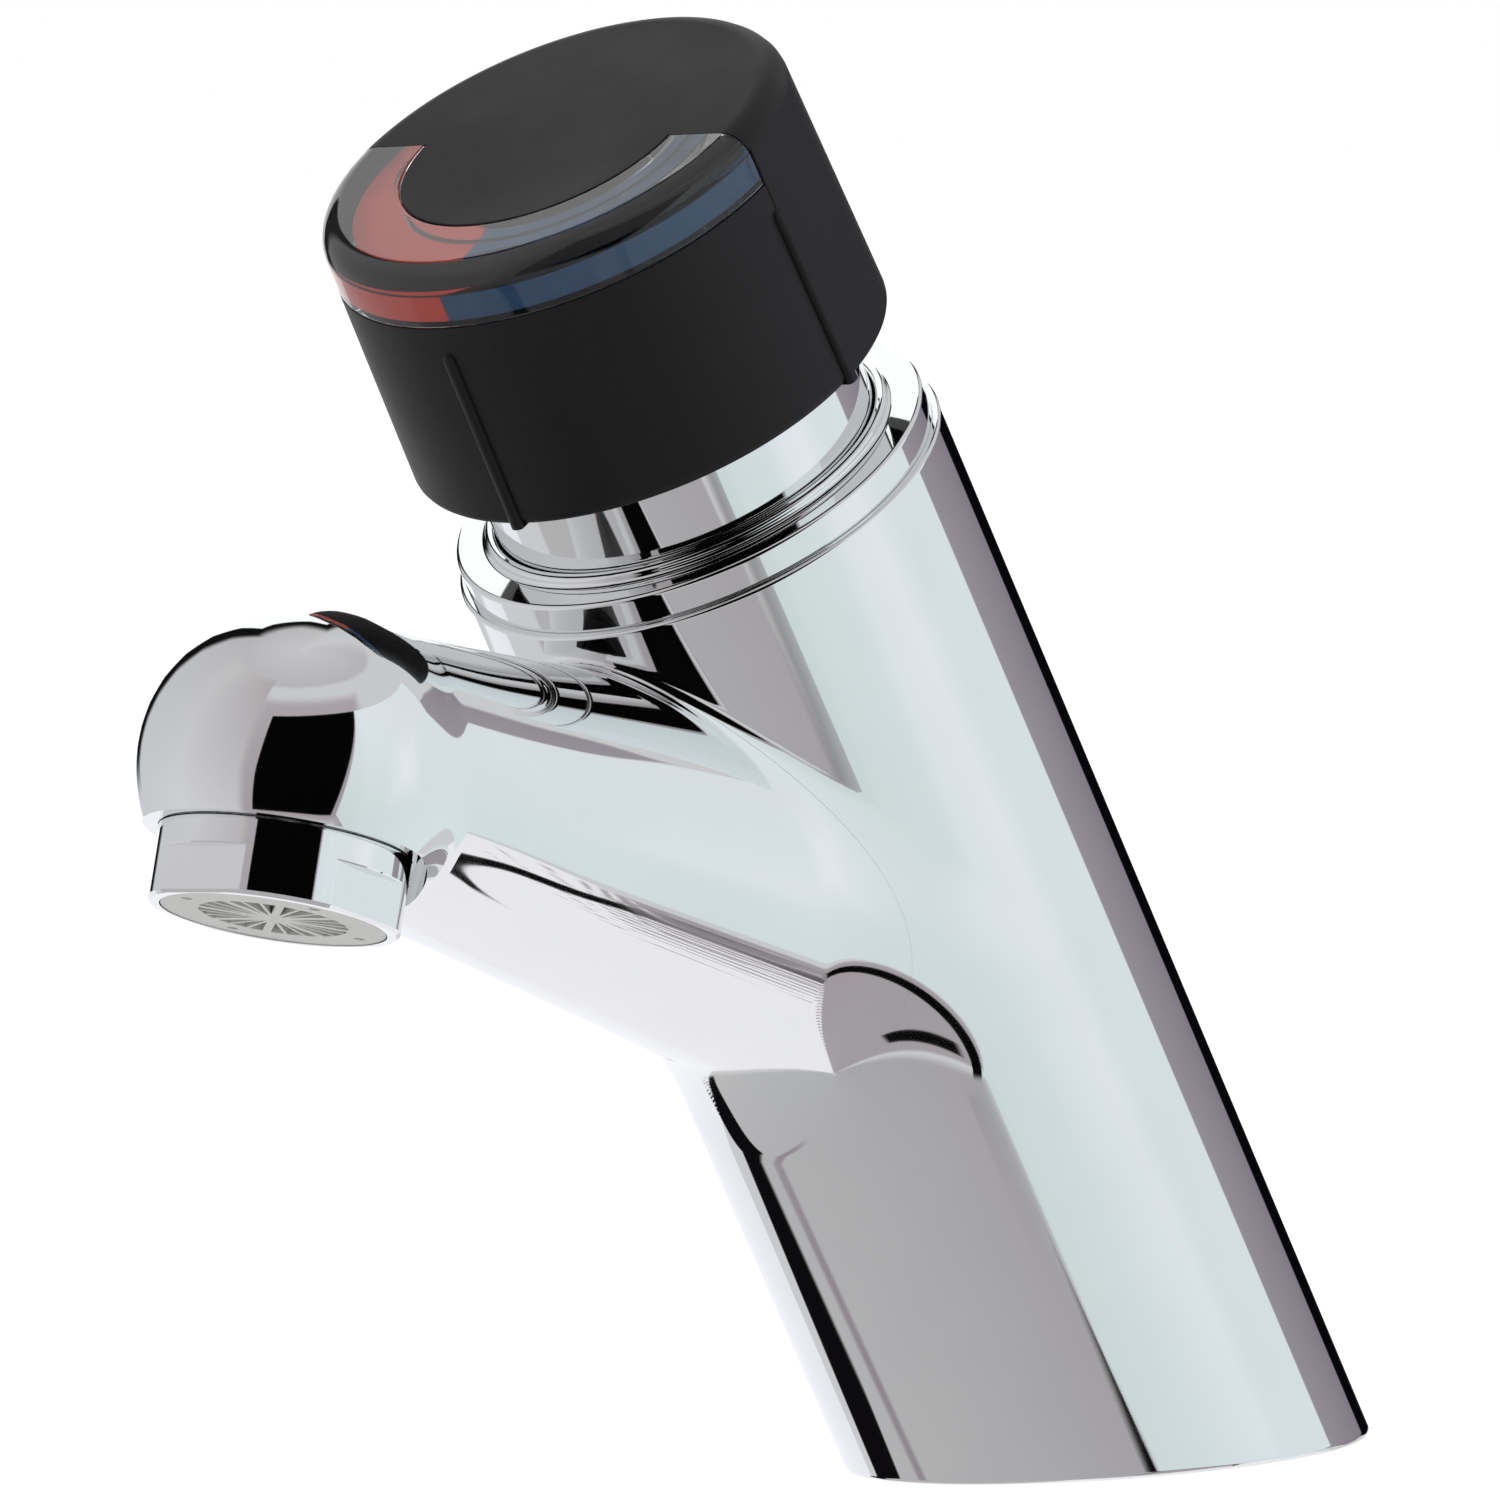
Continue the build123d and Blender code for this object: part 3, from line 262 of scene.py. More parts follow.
def printedFilm(name, tones):
    # screen-printed film bonded under the clear window: even ink with slight density drift
    m, s, p = newMaterial(name, {"IOR": 1.5})
    finishSkin(m, s, p, 0.4, depth=0.003, rough=(0.41, 0.49))
    finishSkin(m, s, p, 5.0, tones=tones)
    # the back of a band is printed black: its backing attribute is 1 there and 0 elsewhere
    inked = s.inputs["Base Color"].links[0].from_node
    back = addNode(m, "ShaderNodeAttribute", {"attribute_name": "backing"})
    both = addNode(m, "ShaderNodeMix", {"data_type": "RGBA", 7: colour("#0c0b0d")},
                   {0: (back, "Fac"), 6: (inked, 2)})
    m.node_tree.links.new(both.outputs[2], s.inputs["Base Color"])
    return m


def mouldedAcetal():
    # injection-moulded acetal: waxy white with a slight sheen
    m, s, p = newMaterial("whiteAcetalMoulded", {
        "Roughness": 0.38, "Subsurface Weight": 0.02, "Subsurface Scale": 0.5 * mm})
    finishSkin(m, s, p, 0.5, depth=0.006, tones=("#bcbcb8", "#cacac7"))
    return m


def machinedBrass():
    # turned and milled brass: warm, with fine tool marks 0.4 mm apart that catch the light
    m, s, p = newMaterial("machinedBrass", {"Metallic": 1.0})
    marks = addNode(m, "ShaderNodeTexWave",
                    {"Scale": 1 / (1.2 * mm), "Distortion": 1.0, "wave_type": "RINGS"},
                    {"Vector": (p, "Object")})
    relief = addNode(m, "ShaderNodeBump", {"Distance": 0.004 * mm, "Strength": 0.5},
                     {"Height": (marks, "Fac")})
    m.node_tree.links.new(relief.outputs["Normal"], s.inputs["Normal"])
    finishSkin(m, s, p, 6.0, 4.0, rough=(0.18, 0.32), tones=("#c19a52", "#d8b571"))
    return m


def stainlessSteel():
    # bright cold-headed stainless: grey metal with a light brushed haze
    m, s, p = newMaterial("stainlessSteelBright", {"Metallic": 1.0})
    finishSkin(m, s, p, 0.3, depth=0.004, rough=(0.2, 0.34), tones=("#b4b6b7", "#c9cbcb"))
    return m


def wovenSteel():
    # fine woven wire screen: thin bright wires over holes painted near black as the shade inside them; a
    # wave's bands repeat every 0.314 / Scale, and the real 0.3 mm mesh is drawn at 0.5 mm so that it shows
    m, s, p = newMaterial("wovenSteelScreen", {"Metallic": 1.0, "Roughness": 0.35})
    wires = []
    for axis in ("X", "Y"):
        wave = addNode(m, "ShaderNodeTexWave", {"Scale": 0.314 / (0.5 * mm), "bands_direction": axis},
                       {"Vector": (p, "Object")})
        wires.append(addNode(m, "ShaderNodeMath", {"operation": "POWER", 1: 3.0}, {0: (wave, "Fac")}))
    weave = addNode(m, "ShaderNodeMath", {"operation": "MAXIMUM"}, {0: (wires[0], 0), 1: (wires[1], 0)})
    # the holes get painted shade, near black; the wires get their own grey
    shade = addNode(m, "ShaderNodeMix",
                    {"data_type": "RGBA", 6: colour("#0b0b0c"), 7: colour("#77797a")}, {0: (weave, 0)})
    relief = addNode(m, "ShaderNodeBump", {"Distance": 0.05 * mm}, {"Height": (weave, 0)})
    m.node_tree.links.new(shade.outputs[2], s.inputs["Base Color"])
    m.node_tree.links.new(relief.outputs["Normal"], s.inputs["Normal"])
    return m


def mouldedRubber():
    # moulded nitrile: dull charcoal with a dry, slightly dusty skin
    m, s, p = newMaterial("nitrileRubberMoulded", {"Roughness": 0.7})
    finishSkin(m, s, p, 0.35, depth=0.015, tones=("#1b1b1c", "#2a2a2b"))
    return m


def lappedCeramic():
    # lapped alumina: dense off-white with a satin polish
    m, s, p = newMaterial("aluminaCeramicLapped", {"Roughness": 0.22})
    finishSkin(m, s, p, 0.6, depth=0.002, tones=("#e6e2da", "#efece6"))
    return m


def blackAcetal():
    # turned black acetal: dark and waxy
    m, s, p = newMaterial("blackAcetalTurned", {"Roughness": 0.35})
    finishSkin(m, s, p, 0.4, depth=0.006, tones=("#1c1c1d", "#262627"))
    return m


finishes = {
    "chrome": polishedChrome(),
    "brass": machinedBrass(),
    "black_abs": mouldedAbs(),
    "clear_plastic": clearAcrylic(),
    "red_print": printedFilm("redPrintedFilm", ("#c83a2b", "#d24433")),
    "blue_print": printedFilm("bluePrintedFilm", ("#143f66", "#1a4c76")),
    "white_pom": mouldedAcetal(),
    "black_pom": blackAcetal(),
    "ceramic": lappedCeramic(),
    "rubber": mouldedRubber(),
    "steel": stainlessSteel(),
}
ownFinish = {"aerator_screen": wovenSteel()}  # a node whose finish isn't its slot's
for row in frame["record"]["subparts"]:
    for slot in frame["nodes"][row["node"]].material_slots:
        slot.link = "OBJECT"
        slot.material = ownFinish.get(row["node"], finishes[row["material_slot"]])
print("finishes on the CAD nodes")


def dress(piece, body, slotName, *nodes):
    # finish, body and the CAD nodes that a new piece stands for
    piece.data.materials.append(finishes[slotName])
    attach(piece, body)
    if nodes:
        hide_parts(*nodes)


# body casting: the surface where a field of distances is zero, reached from simple starting grids
spout = {
    "ball": np.array([0.0, -119.9, 77.6]),
    "ballRadius": 15.1,
    "rise": radians(15.9),
    "lift": 2.55,              # the spout's axis runs this far over the ball's centre
    "neckRadius": 13.32,
    "neckEnd": 15.0,           # from the ball to where the spout starts to widen
    "taper": 0.0955,           # growth of the radius per mm towards the body
    "taperSoft": 6.0,          # run over which the taper sets in
    "neckWidth": 15.0,         # half the width across, which stays even from the ball to the taper
    "widthSoft": 0.6,
    "ballBlend": 2.0,
    "creaseBlend": 1.7,        # tight in the V above the spout
    "rootBlend": 5.2,          # wide where the underside runs into the body
    "blendStart": -0.25,       # height on the spout where the wide round starts to narrow
    "blendSpan": 1.05,
    "mouthTilt": radians(18.4),
    "mouthDrop": 6.6,
    "mouthRadius": 13.58,
    "threadRadius": 12.05,
    "threadDepth": 7.0,
}
casting = {
    "radius": 25.0,
    "shoulder": 115.5,
    "shoulderRound": 0.8,
    "baseRound": 0.8,
    "bores": ((22.4, 106.0), (21.0, 98.0), (17.0, 38.0)),  # radius of each bore, level of its floor
    "boreLip": 0.15,
    "boreRound": 0.1,
    "grooveOuter": 22.8,       # gasket groove in the base
    "grooveInner": 20.6,
    "grooveDepth": 1.6,
    "recessRadius": 19.0,      # place of the inlet block
    "recessDepth": 12.0,
    "holeLevel": 87.0,         # level of the middle of the spout's root
    "neckDistance": 12.0,      # from the ball to where the spout's grid meets the elbow's
    "seamReach": 45.0,         # how far out the searches for the seam, the rim and the elbow go
    "rimReach": (-0.5, 14.0),
    "elbowReach": (8.0, 24.0),
    "bottomSteps": 72,
    "sideSteps": 56,
    "rootSteps": 44,
    "rootSpread": 1.7,
    "spoutSteps": 76,
    "spoutSpread": 1.35,
    "elbowSteps": 60,
    "footSteps": 9,
}
inwardDir = np.array([0.0, cos(spout["rise"]), -sin(spout["rise"])])
liftDir = np.array([0.0, sin(spout["rise"]), cos(spout["rise"])])
outletDir = np.array([0.0, -sin(spout["mouthTilt"]), -cos(spout["mouthTilt"])])
outletFront = np.array([0.0, -cos(spout["mouthTilt"]), sin(spout["mouthTilt"])])
mouthCentre = spout["ball"] + outletDir * spout["mouthDrop"]
spoutStart = spout["ball"] + liftDir * spout["lift"]


def onBarrel(turn, level):
    # point of the barrel's wall at a turn and a level
    turn, level = np.asarray(turn)[..., None], np.asarray(level)[..., None]
    return level * axisDir + casting["radius"] * (np.cos(turn) * frontDir + np.sin(turn) * rightDir)


def spoutRadius(d):
    # constant at the neck, then a straight taper with a soft start
    over = d - spout["neckEnd"]
    ramp = (np.sqrt(over * over + spout["taperSoft"] ** 2) + over) / 2
    return spout["neckRadius"] + spout["taper"] * ramp


def spoutWidth(d):
    # how much wider than high the spout is at this distance: the larger of two widths, softened
    r = spoutRadius(d)
    return (spout["neckWidth"] + r + np.sqrt((spout["neckWidth"] - r) ** 2 + spout["widthSoft"])) / 2 / r


def spoutField(p):
    # distance to the spout alone: a tapering form about its lifted axis, with a round end;
    # near the ball it is a little wider than high
    v = p - spoutStart
    d = v @ inwardDir
    v = v - ((1 - 1 / spoutWidth(np.maximum(d, 0))) * (v @ rightDir))[..., None] * rightDir
    off = np.linalg.norm(v - d[..., None] * inwardDir, axis=-1)
    alongside = off - spoutRadius(np.maximum(d, 0))
    return np.where(d > 0, alongside, np.linalg.norm(v, axis=-1) - spoutRadius(0.0))


def roundUnion(a, b, r):
    # union of two distances with an inner round of radius r
    u, v = np.maximum(r - a, 0), np.maximum(r - b, 0)
    return np.maximum(r, np.minimum(a, b)) - np.sqrt(u * u + v * v)


def castingField(p):
    # barrel and spout joined by a round that is wide below and tight above, then the ball
    off = p - (p @ axisDir)[..., None] * axisDir
    barrel = np.linalg.norm(off, axis=-1) - casting["radius"]
    v = p - spoutStart
    across = v - (v @ inwardDir)[..., None] * inwardDir
    up = (across @ liftDir) / (np.linalg.norm(across, axis=-1) + 1e-9)
    w = smooth((up - spout["blendStart"]) / spout["blendSpan"])
    r = spout["rootBlend"] * (1 - w) + spout["creaseBlend"] * w
    joined = roundUnion(barrel, spoutField(p), r)
    ball = np.linalg.norm(p - spout["ball"], axis=-1) - spout["ballRadius"]
    return roundUnion(joined, ball, spout["ballBlend"])


def slopeOf(p, step=0.02):
    # gradient of the field by central differences
    shifts = np.eye(3) * step
    return np.stack([(castingField(p + e) - castingField(p - e)) / (2 * step) for e in shifts], -1)


def settle(p, rounds=7):
    # moves points along the gradient onto the surface
    for _ in range(rounds):
        g = slopeOf(p)
        p = p - castingField(p)[..., None] * g / (g * g).sum(-1, keepdims=True)
    return p


def leavesAt(origin, direction, low, high, field):
    # halving search for the distance at which each ray leaves the inside of a field
    low = np.broadcast_to(low, direction.shape[:-1]).copy()
    high = np.broadcast_to(high, direction.shape[:-1]).copy()
    for _ in range(40):
        middle = (low + high) / 2
        inside = field(origin + direction * middle[..., None]) < 0
        low, high = np.where(inside, middle, low), np.where(inside, high, middle)
    return (low + high) / 2


def baseLevel(turn):
    # level at which the barrel's wall meets the round of the base, whose centre line lies one
    # radius inside the wall and one radius over the floor
    core = casting["radius"] - casting["baseRound"]
    return (casting["baseRound"] + core * sin(lean) * np.cos(turn)) / cos(lean)


def unrolled(flat):
    # (arc length, level over the hole) on the unrolled barrel to a point of its wall
    return onBarrel(flat[..., 0] / casting["radius"], flat[..., 1] + casting["holeLevel"])


def closeRing(grid):
    # the first row comes again at the end
    return np.concatenate([grid, grid[:1]], 0)


# front half of the barrel: a loop goes along the bottom, up the right, back along the top and down
# the left, and the grid runs from the seam with the spout out to this loop
topLevel = casting["shoulder"] - casting["shoulderRound"]
frontTurns = np.linspace(-pi / 2, pi / 2, casting["bottomSteps"] + 1)
backTurns = np.linspace(pi / 2, 3 * pi / 2, casting["bottomSteps"] + 1)
sideShare = np.linspace(0, 1, casting["sideSteps"] + 1)
sideTurns = np.full(casting["sideSteps"], pi / 2)
sideLevels = baseLevel(pi / 2) + (topLevel - baseLevel(pi / 2)) * sideShare
loopTurn = np.concatenate([frontTurns[:-1], sideTurns, frontTurns[::-1][:-1], -sideTurns])
loopLevel = np.concatenate([baseLevel(frontTurns[:-1]), sideLevels[:-1],
                            np.full(casting["bottomSteps"], topLevel), sideLevels[::-1][:-1]])
loop = np.stack([loopTurn * casting["radius"], loopLevel - casting["holeLevel"]], -1)
loopDir = unit(loop)
seamReach = leavesAt(0.0, loopDir, 0.0, casting["seamReach"], lambda flat: spoutField(unrolled(flat)))
seamFlat = loopDir * seamReach[:, None]
outShare = (np.linspace(0, 1, casting["rootSteps"]) ** casting["rootSpread"])[None, :, None]
barrelFront = closeRing(settle(unrolled(seamFlat[:, None] + (loop - seamFlat)[:, None] * outShare)))
backRise = (topLevel - baseLevel(backTurns))[:, None] * sideShare[None]
backGrid = onBarrel(backTurns[:, None], baseLevel(backTurns)[:, None] + backRise)

# spout: straight runs from the seam to the neck, each at its own angle round the lifted axis
fromStart = unrolled(seamFlat) - spoutStart
seamDistance = fromStart @ inwardDir
spoutRing = unit(fromStart - seamDistance[:, None] * inwardDir)
share = (np.linspace(0, 1, casting["spoutSteps"]) ** casting["spoutSpread"])[None, :]
d = seamDistance[:, None] * (1 - share) + casting["neckDistance"] * share
spoutGrid = spoutStart + d[..., None] * inwardDir + spoutRadius(d)[..., None] * spoutRing[:, None]
spoutGrid = closeRing(settle(spoutGrid))

# elbow: great-circle runs about the ball from the neck to the rim of the mouth
around = np.arctan2(spoutRing @ rightDir, spoutRing @ liftDir)
rimDir = np.cos(around)[:, None] * outletFront + np.sin(around)[:, None] * rightDir
rimStart = mouthCentre + spout["mouthRadius"] * rimDir
outletRays = np.broadcast_to(outletDir, rimStart.shape)
rimDrop = np.maximum(leavesAt(rimStart, outletRays, *casting["rimReach"], castingField), 0)
rim = rimStart + rimDrop[:, None] * outletDir
neck = spoutGrid[:-1, -1]
neckDir, mouthDir = unit(neck - spout["ball"]), unit(rim - spout["ball"])
elbowShare = np.linspace(0, 1, casting["elbowSteps"])[:, None]
elbowDir = swung(neckDir[:, None], mouthDir[:, None], elbowShare)
elbowReach = leavesAt(spout["ball"], elbowDir, *casting["elbowReach"], castingField)
elbowGrid = spout["ball"] + elbowDir * elbowReach[..., None]
elbowGrid[:, 0], elbowGrid[:, -1] = neck, rim

patches = [(g, unit(slopeOf(g))) for g in (barrelFront, spoutGrid, closeRing(elbowGrid))]
patches.append((backGrid, unit(backGrid - (backGrid @ axisDir)[..., None] * axisDir)))

# mouth: spot-faced seat, thread bore and its end
wall = closeRing(rim)
seat = closeRing(rimStart)
intoMouth = -closeRing(rimDir)
boreRing = closeRing(mouthCentre + spout["threadRadius"] * rimDir)
boreEnd = boreRing - spout["threadDepth"] * outletDir
boreMiddle = np.broadcast_to(mouthCentre - spout["threadDepth"] * outletDir, boreEnd.shape)
patches.append(strip([wall, seat], intoMouth[None]))
patches.append(strip([seat, boreRing], outletDir))
patches.append(strip([boreRing, boreEnd], intoMouth[None]))
patches.append(strip([boreEnd, boreMiddle], outletDir))

# shoulder, stepped bore and its floor, turned on the same angles as the barrel
ringTurns = np.concatenate([frontTurns, backTurns[1:]])
outline = [(casting["radius"], topLevel, 0),
           (casting["radius"], casting["shoulder"], casting["shoulderRound"])]
level, edge = casting["shoulder"], casting["boreLip"]
for radius, floorLevel in casting["bores"]:
    outline += [(radius, level, edge), (radius, floorLevel, casting["boreRound"])]
    level, edge = floorLevel, casting["boreRound"]
outline.append((0, level, 0))
grid, normal = turned(outline, ringTurns, closed=False)
grid[:, 0] = onBarrel(ringTurns, np.full(len(ringTurns), topLevel))
patches.append((grid, normal))

# base: foot = centre line of the round + radius * (normal that swings from the wall's to down)
foot = onBarrel(ringTurns, baseLevel(ringTurns))
wallOut = unit(foot - (foot @ axisDir)[:, None] * axisDir)
footNormal = swung(wallOut, downDir, np.linspace(0, 1, casting["footSteps"])[:, None, None])
footGrid = foot - casting["baseRound"] * wallOut + casting["baseRound"] * footNormal
footGrid[-1, :, 2] = 0
patches.append((footGrid, footNormal))


def baseRing(radius, height):
    # circle about the middle of the base
    return np.stack([radius * np.sin(ringTurns), -radius * np.cos(ringTurns),
                     np.full(len(ringTurns), height)], -1)


outward = unit(baseRing(1.0, 0.0))
last = footGrid[-1]
for radius, height, normal in (
        (casting["grooveOuter"], 0.0, downDir), (casting["grooveOuter"], casting["grooveDepth"], -outward),
        (casting["grooveInner"], casting["grooveDepth"], downDir), (casting["grooveInner"], 0.0, outward),
        (casting["recessRadius"], 0.0, downDir),
        (casting["recessRadius"], casting["recessDepth"], -outward), (0.0, casting["recessDepth"], downDir)):
    ring = baseRing(radius, height)
    patches.append(strip([last, ring], normal))
    last = ring
dress(assemble("bodyCasting", patches), "tap_body", "chrome", "body_casting")
print("body casting")

# collar: flange over the barrel, skirt in its bore and a rounded lip round the sleeve
collar = {
    "outer": 24.2,
    "bottom": 115.5,
    "top": 118.55,
    "rimRound": 0.45,
    "footRound": 0.15,
    "lipOuter": 20.85,
    "lipInner": 19.75,
    "lipTop": 119.6,
    "lipBottom": 118.8,
    "lipRound": 0.5,
    "lipInnerRound": 0.45,
    "grooveRound": 0.5,
    "skirt": 22.3,
    "skirtBottom": 108.0,
    "skirtRound": 0.2,
    "bore": 20.5,
    "fineRound": 0.05,
    "steps": 289,
}
c = collar
outline = [
    (c["bore"], c["skirtBottom"], c["skirtRound"]), (c["skirt"], c["skirtBottom"], c["skirtRound"]),
    (c["skirt"], c["bottom"], c["fineRound"]), (c["outer"], c["bottom"], c["footRound"]),
    (c["outer"], c["top"], c["rimRound"]), (c["lipOuter"], c["top"], c["grooveRound"]),
    (c["lipOuter"], c["lipTop"], c["lipRound"]), (c["lipInner"], c["lipTop"], c["lipInnerRound"]),
    (c["lipInner"], c["lipBottom"], c["fineRound"]), (c["bore"], c["lipBottom"], c["fineRound"]),
]
patches = [turned(outline, np.linspace(0, 2 * pi, c["steps"]))]
dress(assemble("collarNut", patches), "tap_body", "chrome", "collar_nut")

# sleeve: plain tube that goes down with the cap
sleeve = {"outer": 19.6, "inner": 18.6, "bottom": 112.0, "top": 147.8, "edge": 0.2, "steps": 289}
c = sleeve
outline = [(c["inner"], c["bottom"], c["edge"]), (c["outer"], c["bottom"], c["edge"]),
           (c["outer"], c["top"], c["edge"]), (c["inner"], c["top"], c["edge"])]
patches = [turned(outline, np.linspace(0, 2 * pi, c["steps"]))]
dress(assemble("pushSleeve", patches), "button", "chrome", "push_sleeve")
print("collar and sleeve")

# cap: its back half is whole, its front half has the recess of the window
cap = {
    "rim": 128.0,
    "top": 156.2,
    "rimRadius": 24.6,
    "topRadius": 23.9,
    "rimRound": 1.6,
    "topRound": 2.6,
    "cavity": 22.4,
    "cavityRound": 0.3,
    "socket": 20.9,
    "socketLevel": 134.0,
    "socketRound": 0.2,
    "sleeveFit": 19.62,        # grips the sleeve
    "roof": 147.8,
    "core": 13.6,
    "coreLevel": 153.6,
    "fineRound": 0.1,
    "windowLevel": 150.2,
    "windowRadius": 15.0,
    "windowRound": 0.12,
    "steps": 145,
    "ribCount": 4,
    "ribWidth": 1.4,
    "ribHeight": 0.5,
    "ribFullness": 0.6,        # under 1 squares the section, 1 is a sine
    "ribTop": 147.5,
    "ribBottom": 128.0,
    "ribDome": 1.2,            # length of the rounded upper end
    "ribTipWidth": 0.35,       # shares of the width and of the height left at its very end
    "ribTipHeight": 0.02,
    "ribSink": 0.05,
    "ribRoot": 0.6,
    "ribAcross": 13,           # points of a rib's grid
    "ribAlong": 60,
}
c = cap
slope = (c["rimRadius"] - c["topRadius"]) / (c["top"] - c["rim"])


def sideRadius(level):
    return cap["rimRadius"] - slope * (level - cap["rim"])


backTurn = np.linspace(pi / 2, 3 * pi / 2, c["steps"])
frontTurn = np.linspace(-pi / 2, pi / 2, c["steps"])
ledge = sideRadius(c["windowLevel"])
lowerOutline = [(c["cavity"], c["rim"], 0), (c["rimRadius"], c["rim"], c["rimRound"])]
backOutline = lowerOutline + [(c["topRadius"], c["top"], c["topRound"]), (0, c["top"], 0)]
frontOutline = lowerOutline + [
    (ledge, c["windowLevel"], c["windowRound"]), (c["windowRadius"], c["windowLevel"], c["fineRound"]),
    (c["windowRadius"], c["top"], c["windowRound"]), (0, c["top"], 0)]
insideOutline = [
    (c["cavity"], c["rim"], 0), (c["cavity"], c["roof"], c["cavityRound"]),
    (c["socket"], c["roof"], c["socketRound"]), (c["socket"], c["socketLevel"], c["socketRound"]),
    (c["sleeveFit"], c["socketLevel"], c["fineRound"]), (c["sleeveFit"], c["roof"], c["fineRound"]),
    (c["core"], c["roof"], c["socketRound"]), (c["core"], c["coreLevel"], c["socketRound"]),
    (0, c["coreLevel"], 0)]
patches = [
    turned(backOutline, backTurn, closed=False), turned(frontOutline, frontTurn, closed=False),
    turned(insideOutline, np.concatenate([frontTurn, backTurn[1:]]), closed=False)]

# end walls of the window recess, in the plane across the cap
profile, _ = roundedOutline(backOutline, closed=False, steps=12)
profile = profile[(profile[:, 0] >= c["windowRadius"]) & (profile[:, 1] >= c["windowLevel"])]
profile = profile[np.argsort(profile[:, 0])]
endRadii = np.concatenate([[c["windowRadius"]], profile[:, 0], [ledge]])[:, None]
endTops = np.concatenate([[c["top"]], profile[:, 1], [c["windowLevel"]]])[:, None]
for side in (-1, 1):
    foot = endRadii * side * rightDir + c["windowLevel"] * axisDir
    head = endRadii * side * rightDir + endTops * axisDir
    patches.append(strip([foot, head], frontDir))

# grip ribs: ridge height = rib height * sin^fullness across, run down past the rim, with a dome on top
u = np.linspace(0, pi, c["ribAcross"])[:, None]
level = np.linspace(c["ribBottom"], c["ribTop"], c["ribAlong"])
domed = np.clip((level - (c["ribTop"] - c["ribDome"])) / c["ribDome"], 0, 1)
swell = np.sqrt(1 - domed ** 2)
swell[-1] = c["ribTipHeight"]
wide = np.cos(u) * c["ribWidth"] / 2 * (c["ribTipWidth"] + (1 - c["ribTipWidth"]) * swell)
onSide = np.sqrt(sideRadius(level) ** 2 - wide ** 2) - c["ribSink"]
height = onSide + (c["ribHeight"] * swell + c["ribSink"]) * np.sin(u) ** c["ribFullness"]
for k in range(c["ribCount"]):
    turn = 2 * pi * k / c["ribCount"]
    out = np.cos(turn) * frontDir + np.sin(turn) * rightDir
    across = np.cross(axisDir, out)
    grid = height[..., None] * out + wide[..., None] * across + level[None, :, None] * axisDir
    normal = np.sin(u)[..., None] * out + np.cos(u)[..., None] * across
    patches.append((grid, np.broadcast_to(unit(normal), grid.shape).copy()))
    foot = grid[:, 0]
    root = (c["cavity"] + c["ribRoot"]) * out + (foot @ across)[:, None] * across + level[0] * axisDir
    patches.append(strip([foot, root], -axisDir))
dress(assemble("pushCap", patches), "button", "black_abs", "push_cap")
print("cap")

# clear window: half a ring that fills the recess up to the cap's own outline
window = {
    "inner": 15.06,
    "bottom": 150.22,
    "inset": 0.01,
    "bottomInnerRound": 0.2,
    "bottomOuterRound": 0.25,
    "topInnerRound": 0.4,
    "endGap": 0.006,           # radians
    "steps": 161,
}
w = window
outline = [(w["inner"], w["bottom"], w["bottomInnerRound"]),
           (sideRadius(w["bottom"]) - w["inset"], w["bottom"], w["bottomOuterRound"]),
           (cap["topRadius"], cap["top"], cap["topRound"]), (w["inner"], cap["top"], w["topInnerRound"])]
endTurn = pi / 2 - w["endGap"]
turns = np.linspace(-endTurn, endTurn, w["steps"])
grid, normal = turned(outline, turns)
patches = [(grid, normal)]
for end, sign in bothEnds:
    middle = np.broadcast_to(grid[end][:-1].mean(0), grid[end].shape)
    patches.append(strip([grid[end], middle], endNormal(turns[end], sign)))
dress(assemble("capWindow", patches), "button", "clear_plastic", "cap_window")

# black sheet just under the rounded edge: painted shade for the dark that refraction gives there, which
# parts the colours of the top from those of the side; an arc about the edge's own centre, turned round the
# axis and given a thickness
edgeShadeSheet = {
    "under": 0.3,              # depth under the window's surface
    "thick": 0.25,
    "from": radians(14),
    "to": radians(86),
    "steps": 24,
    "endGap": 0.01,            # radians
    "turnSteps": 161,
}
e = edgeShadeSheet
arc = np.linspace(e["from"], e["to"], e["steps"])
arcNormal = np.stack([np.cos(arc), np.sin(arc)], -1)
arcCentre = np.array([cap["topRadius"] - cap["topRound"], cap["top"] - cap["topRound"]])
turns = np.linspace(-endTurn + e["endGap"], endTurn - e["endGap"], e["turnSteps"])
outerArc = arcCentre + (cap["topRound"] - e["under"]) * arcNormal
innerArc = arcCentre + (cap["topRound"] - e["under"] - e["thick"]) * arcNormal
patches = [swept(outerArc, arcNormal, turns), swept(innerArc, -arcNormal, turns)]
outerGrid, innerGrid = patches[0][0], patches[1][0]
for k, sign in bothEnds:
    edgeNormal = sign * (cos(arc[k]) * axisDir - sin(arc[k]) * ringDirs(turns))
    patches.append(strip([outerGrid[:, k], innerGrid[:, k]], edgeNormal))
    patches.append(strip([outerGrid[k], innerGrid[k]], endNormal(turns[k], sign)))
# painted shade: a black sheet that makes the window's rounded edge read dark
dress(assemble("windowEdgePaintedShade", patches), "button", "black_abs")

# coloured film: a crescent under the window's top and a band under its side, each in two colours
film = {
    "level": 150.25,
    "thick": 0.35,
    "inner": 15.4,
    "innerEnd": 18.4,          # the inner edge leaves the wall towards the hot end
    "leaveTurn": -0.9,         # turns and spans are in radians
    "leaveSpan": 0.67,
    "hotOuter": 20.7,          # broad on the hot side, narrowing to an even band on the cold side
    "coldOuter": 16.9,
    "narrowTurn": -0.55,
    "narrowSpan": 0.85,
    "bandRadius": 22.3,
    "bandThick": 0.4,
    "bandBottom": 150.6,
    "bandTop": 153.3,
    "change": radians(3),      # turn at which hot becomes cold
    "steps": 97,
}


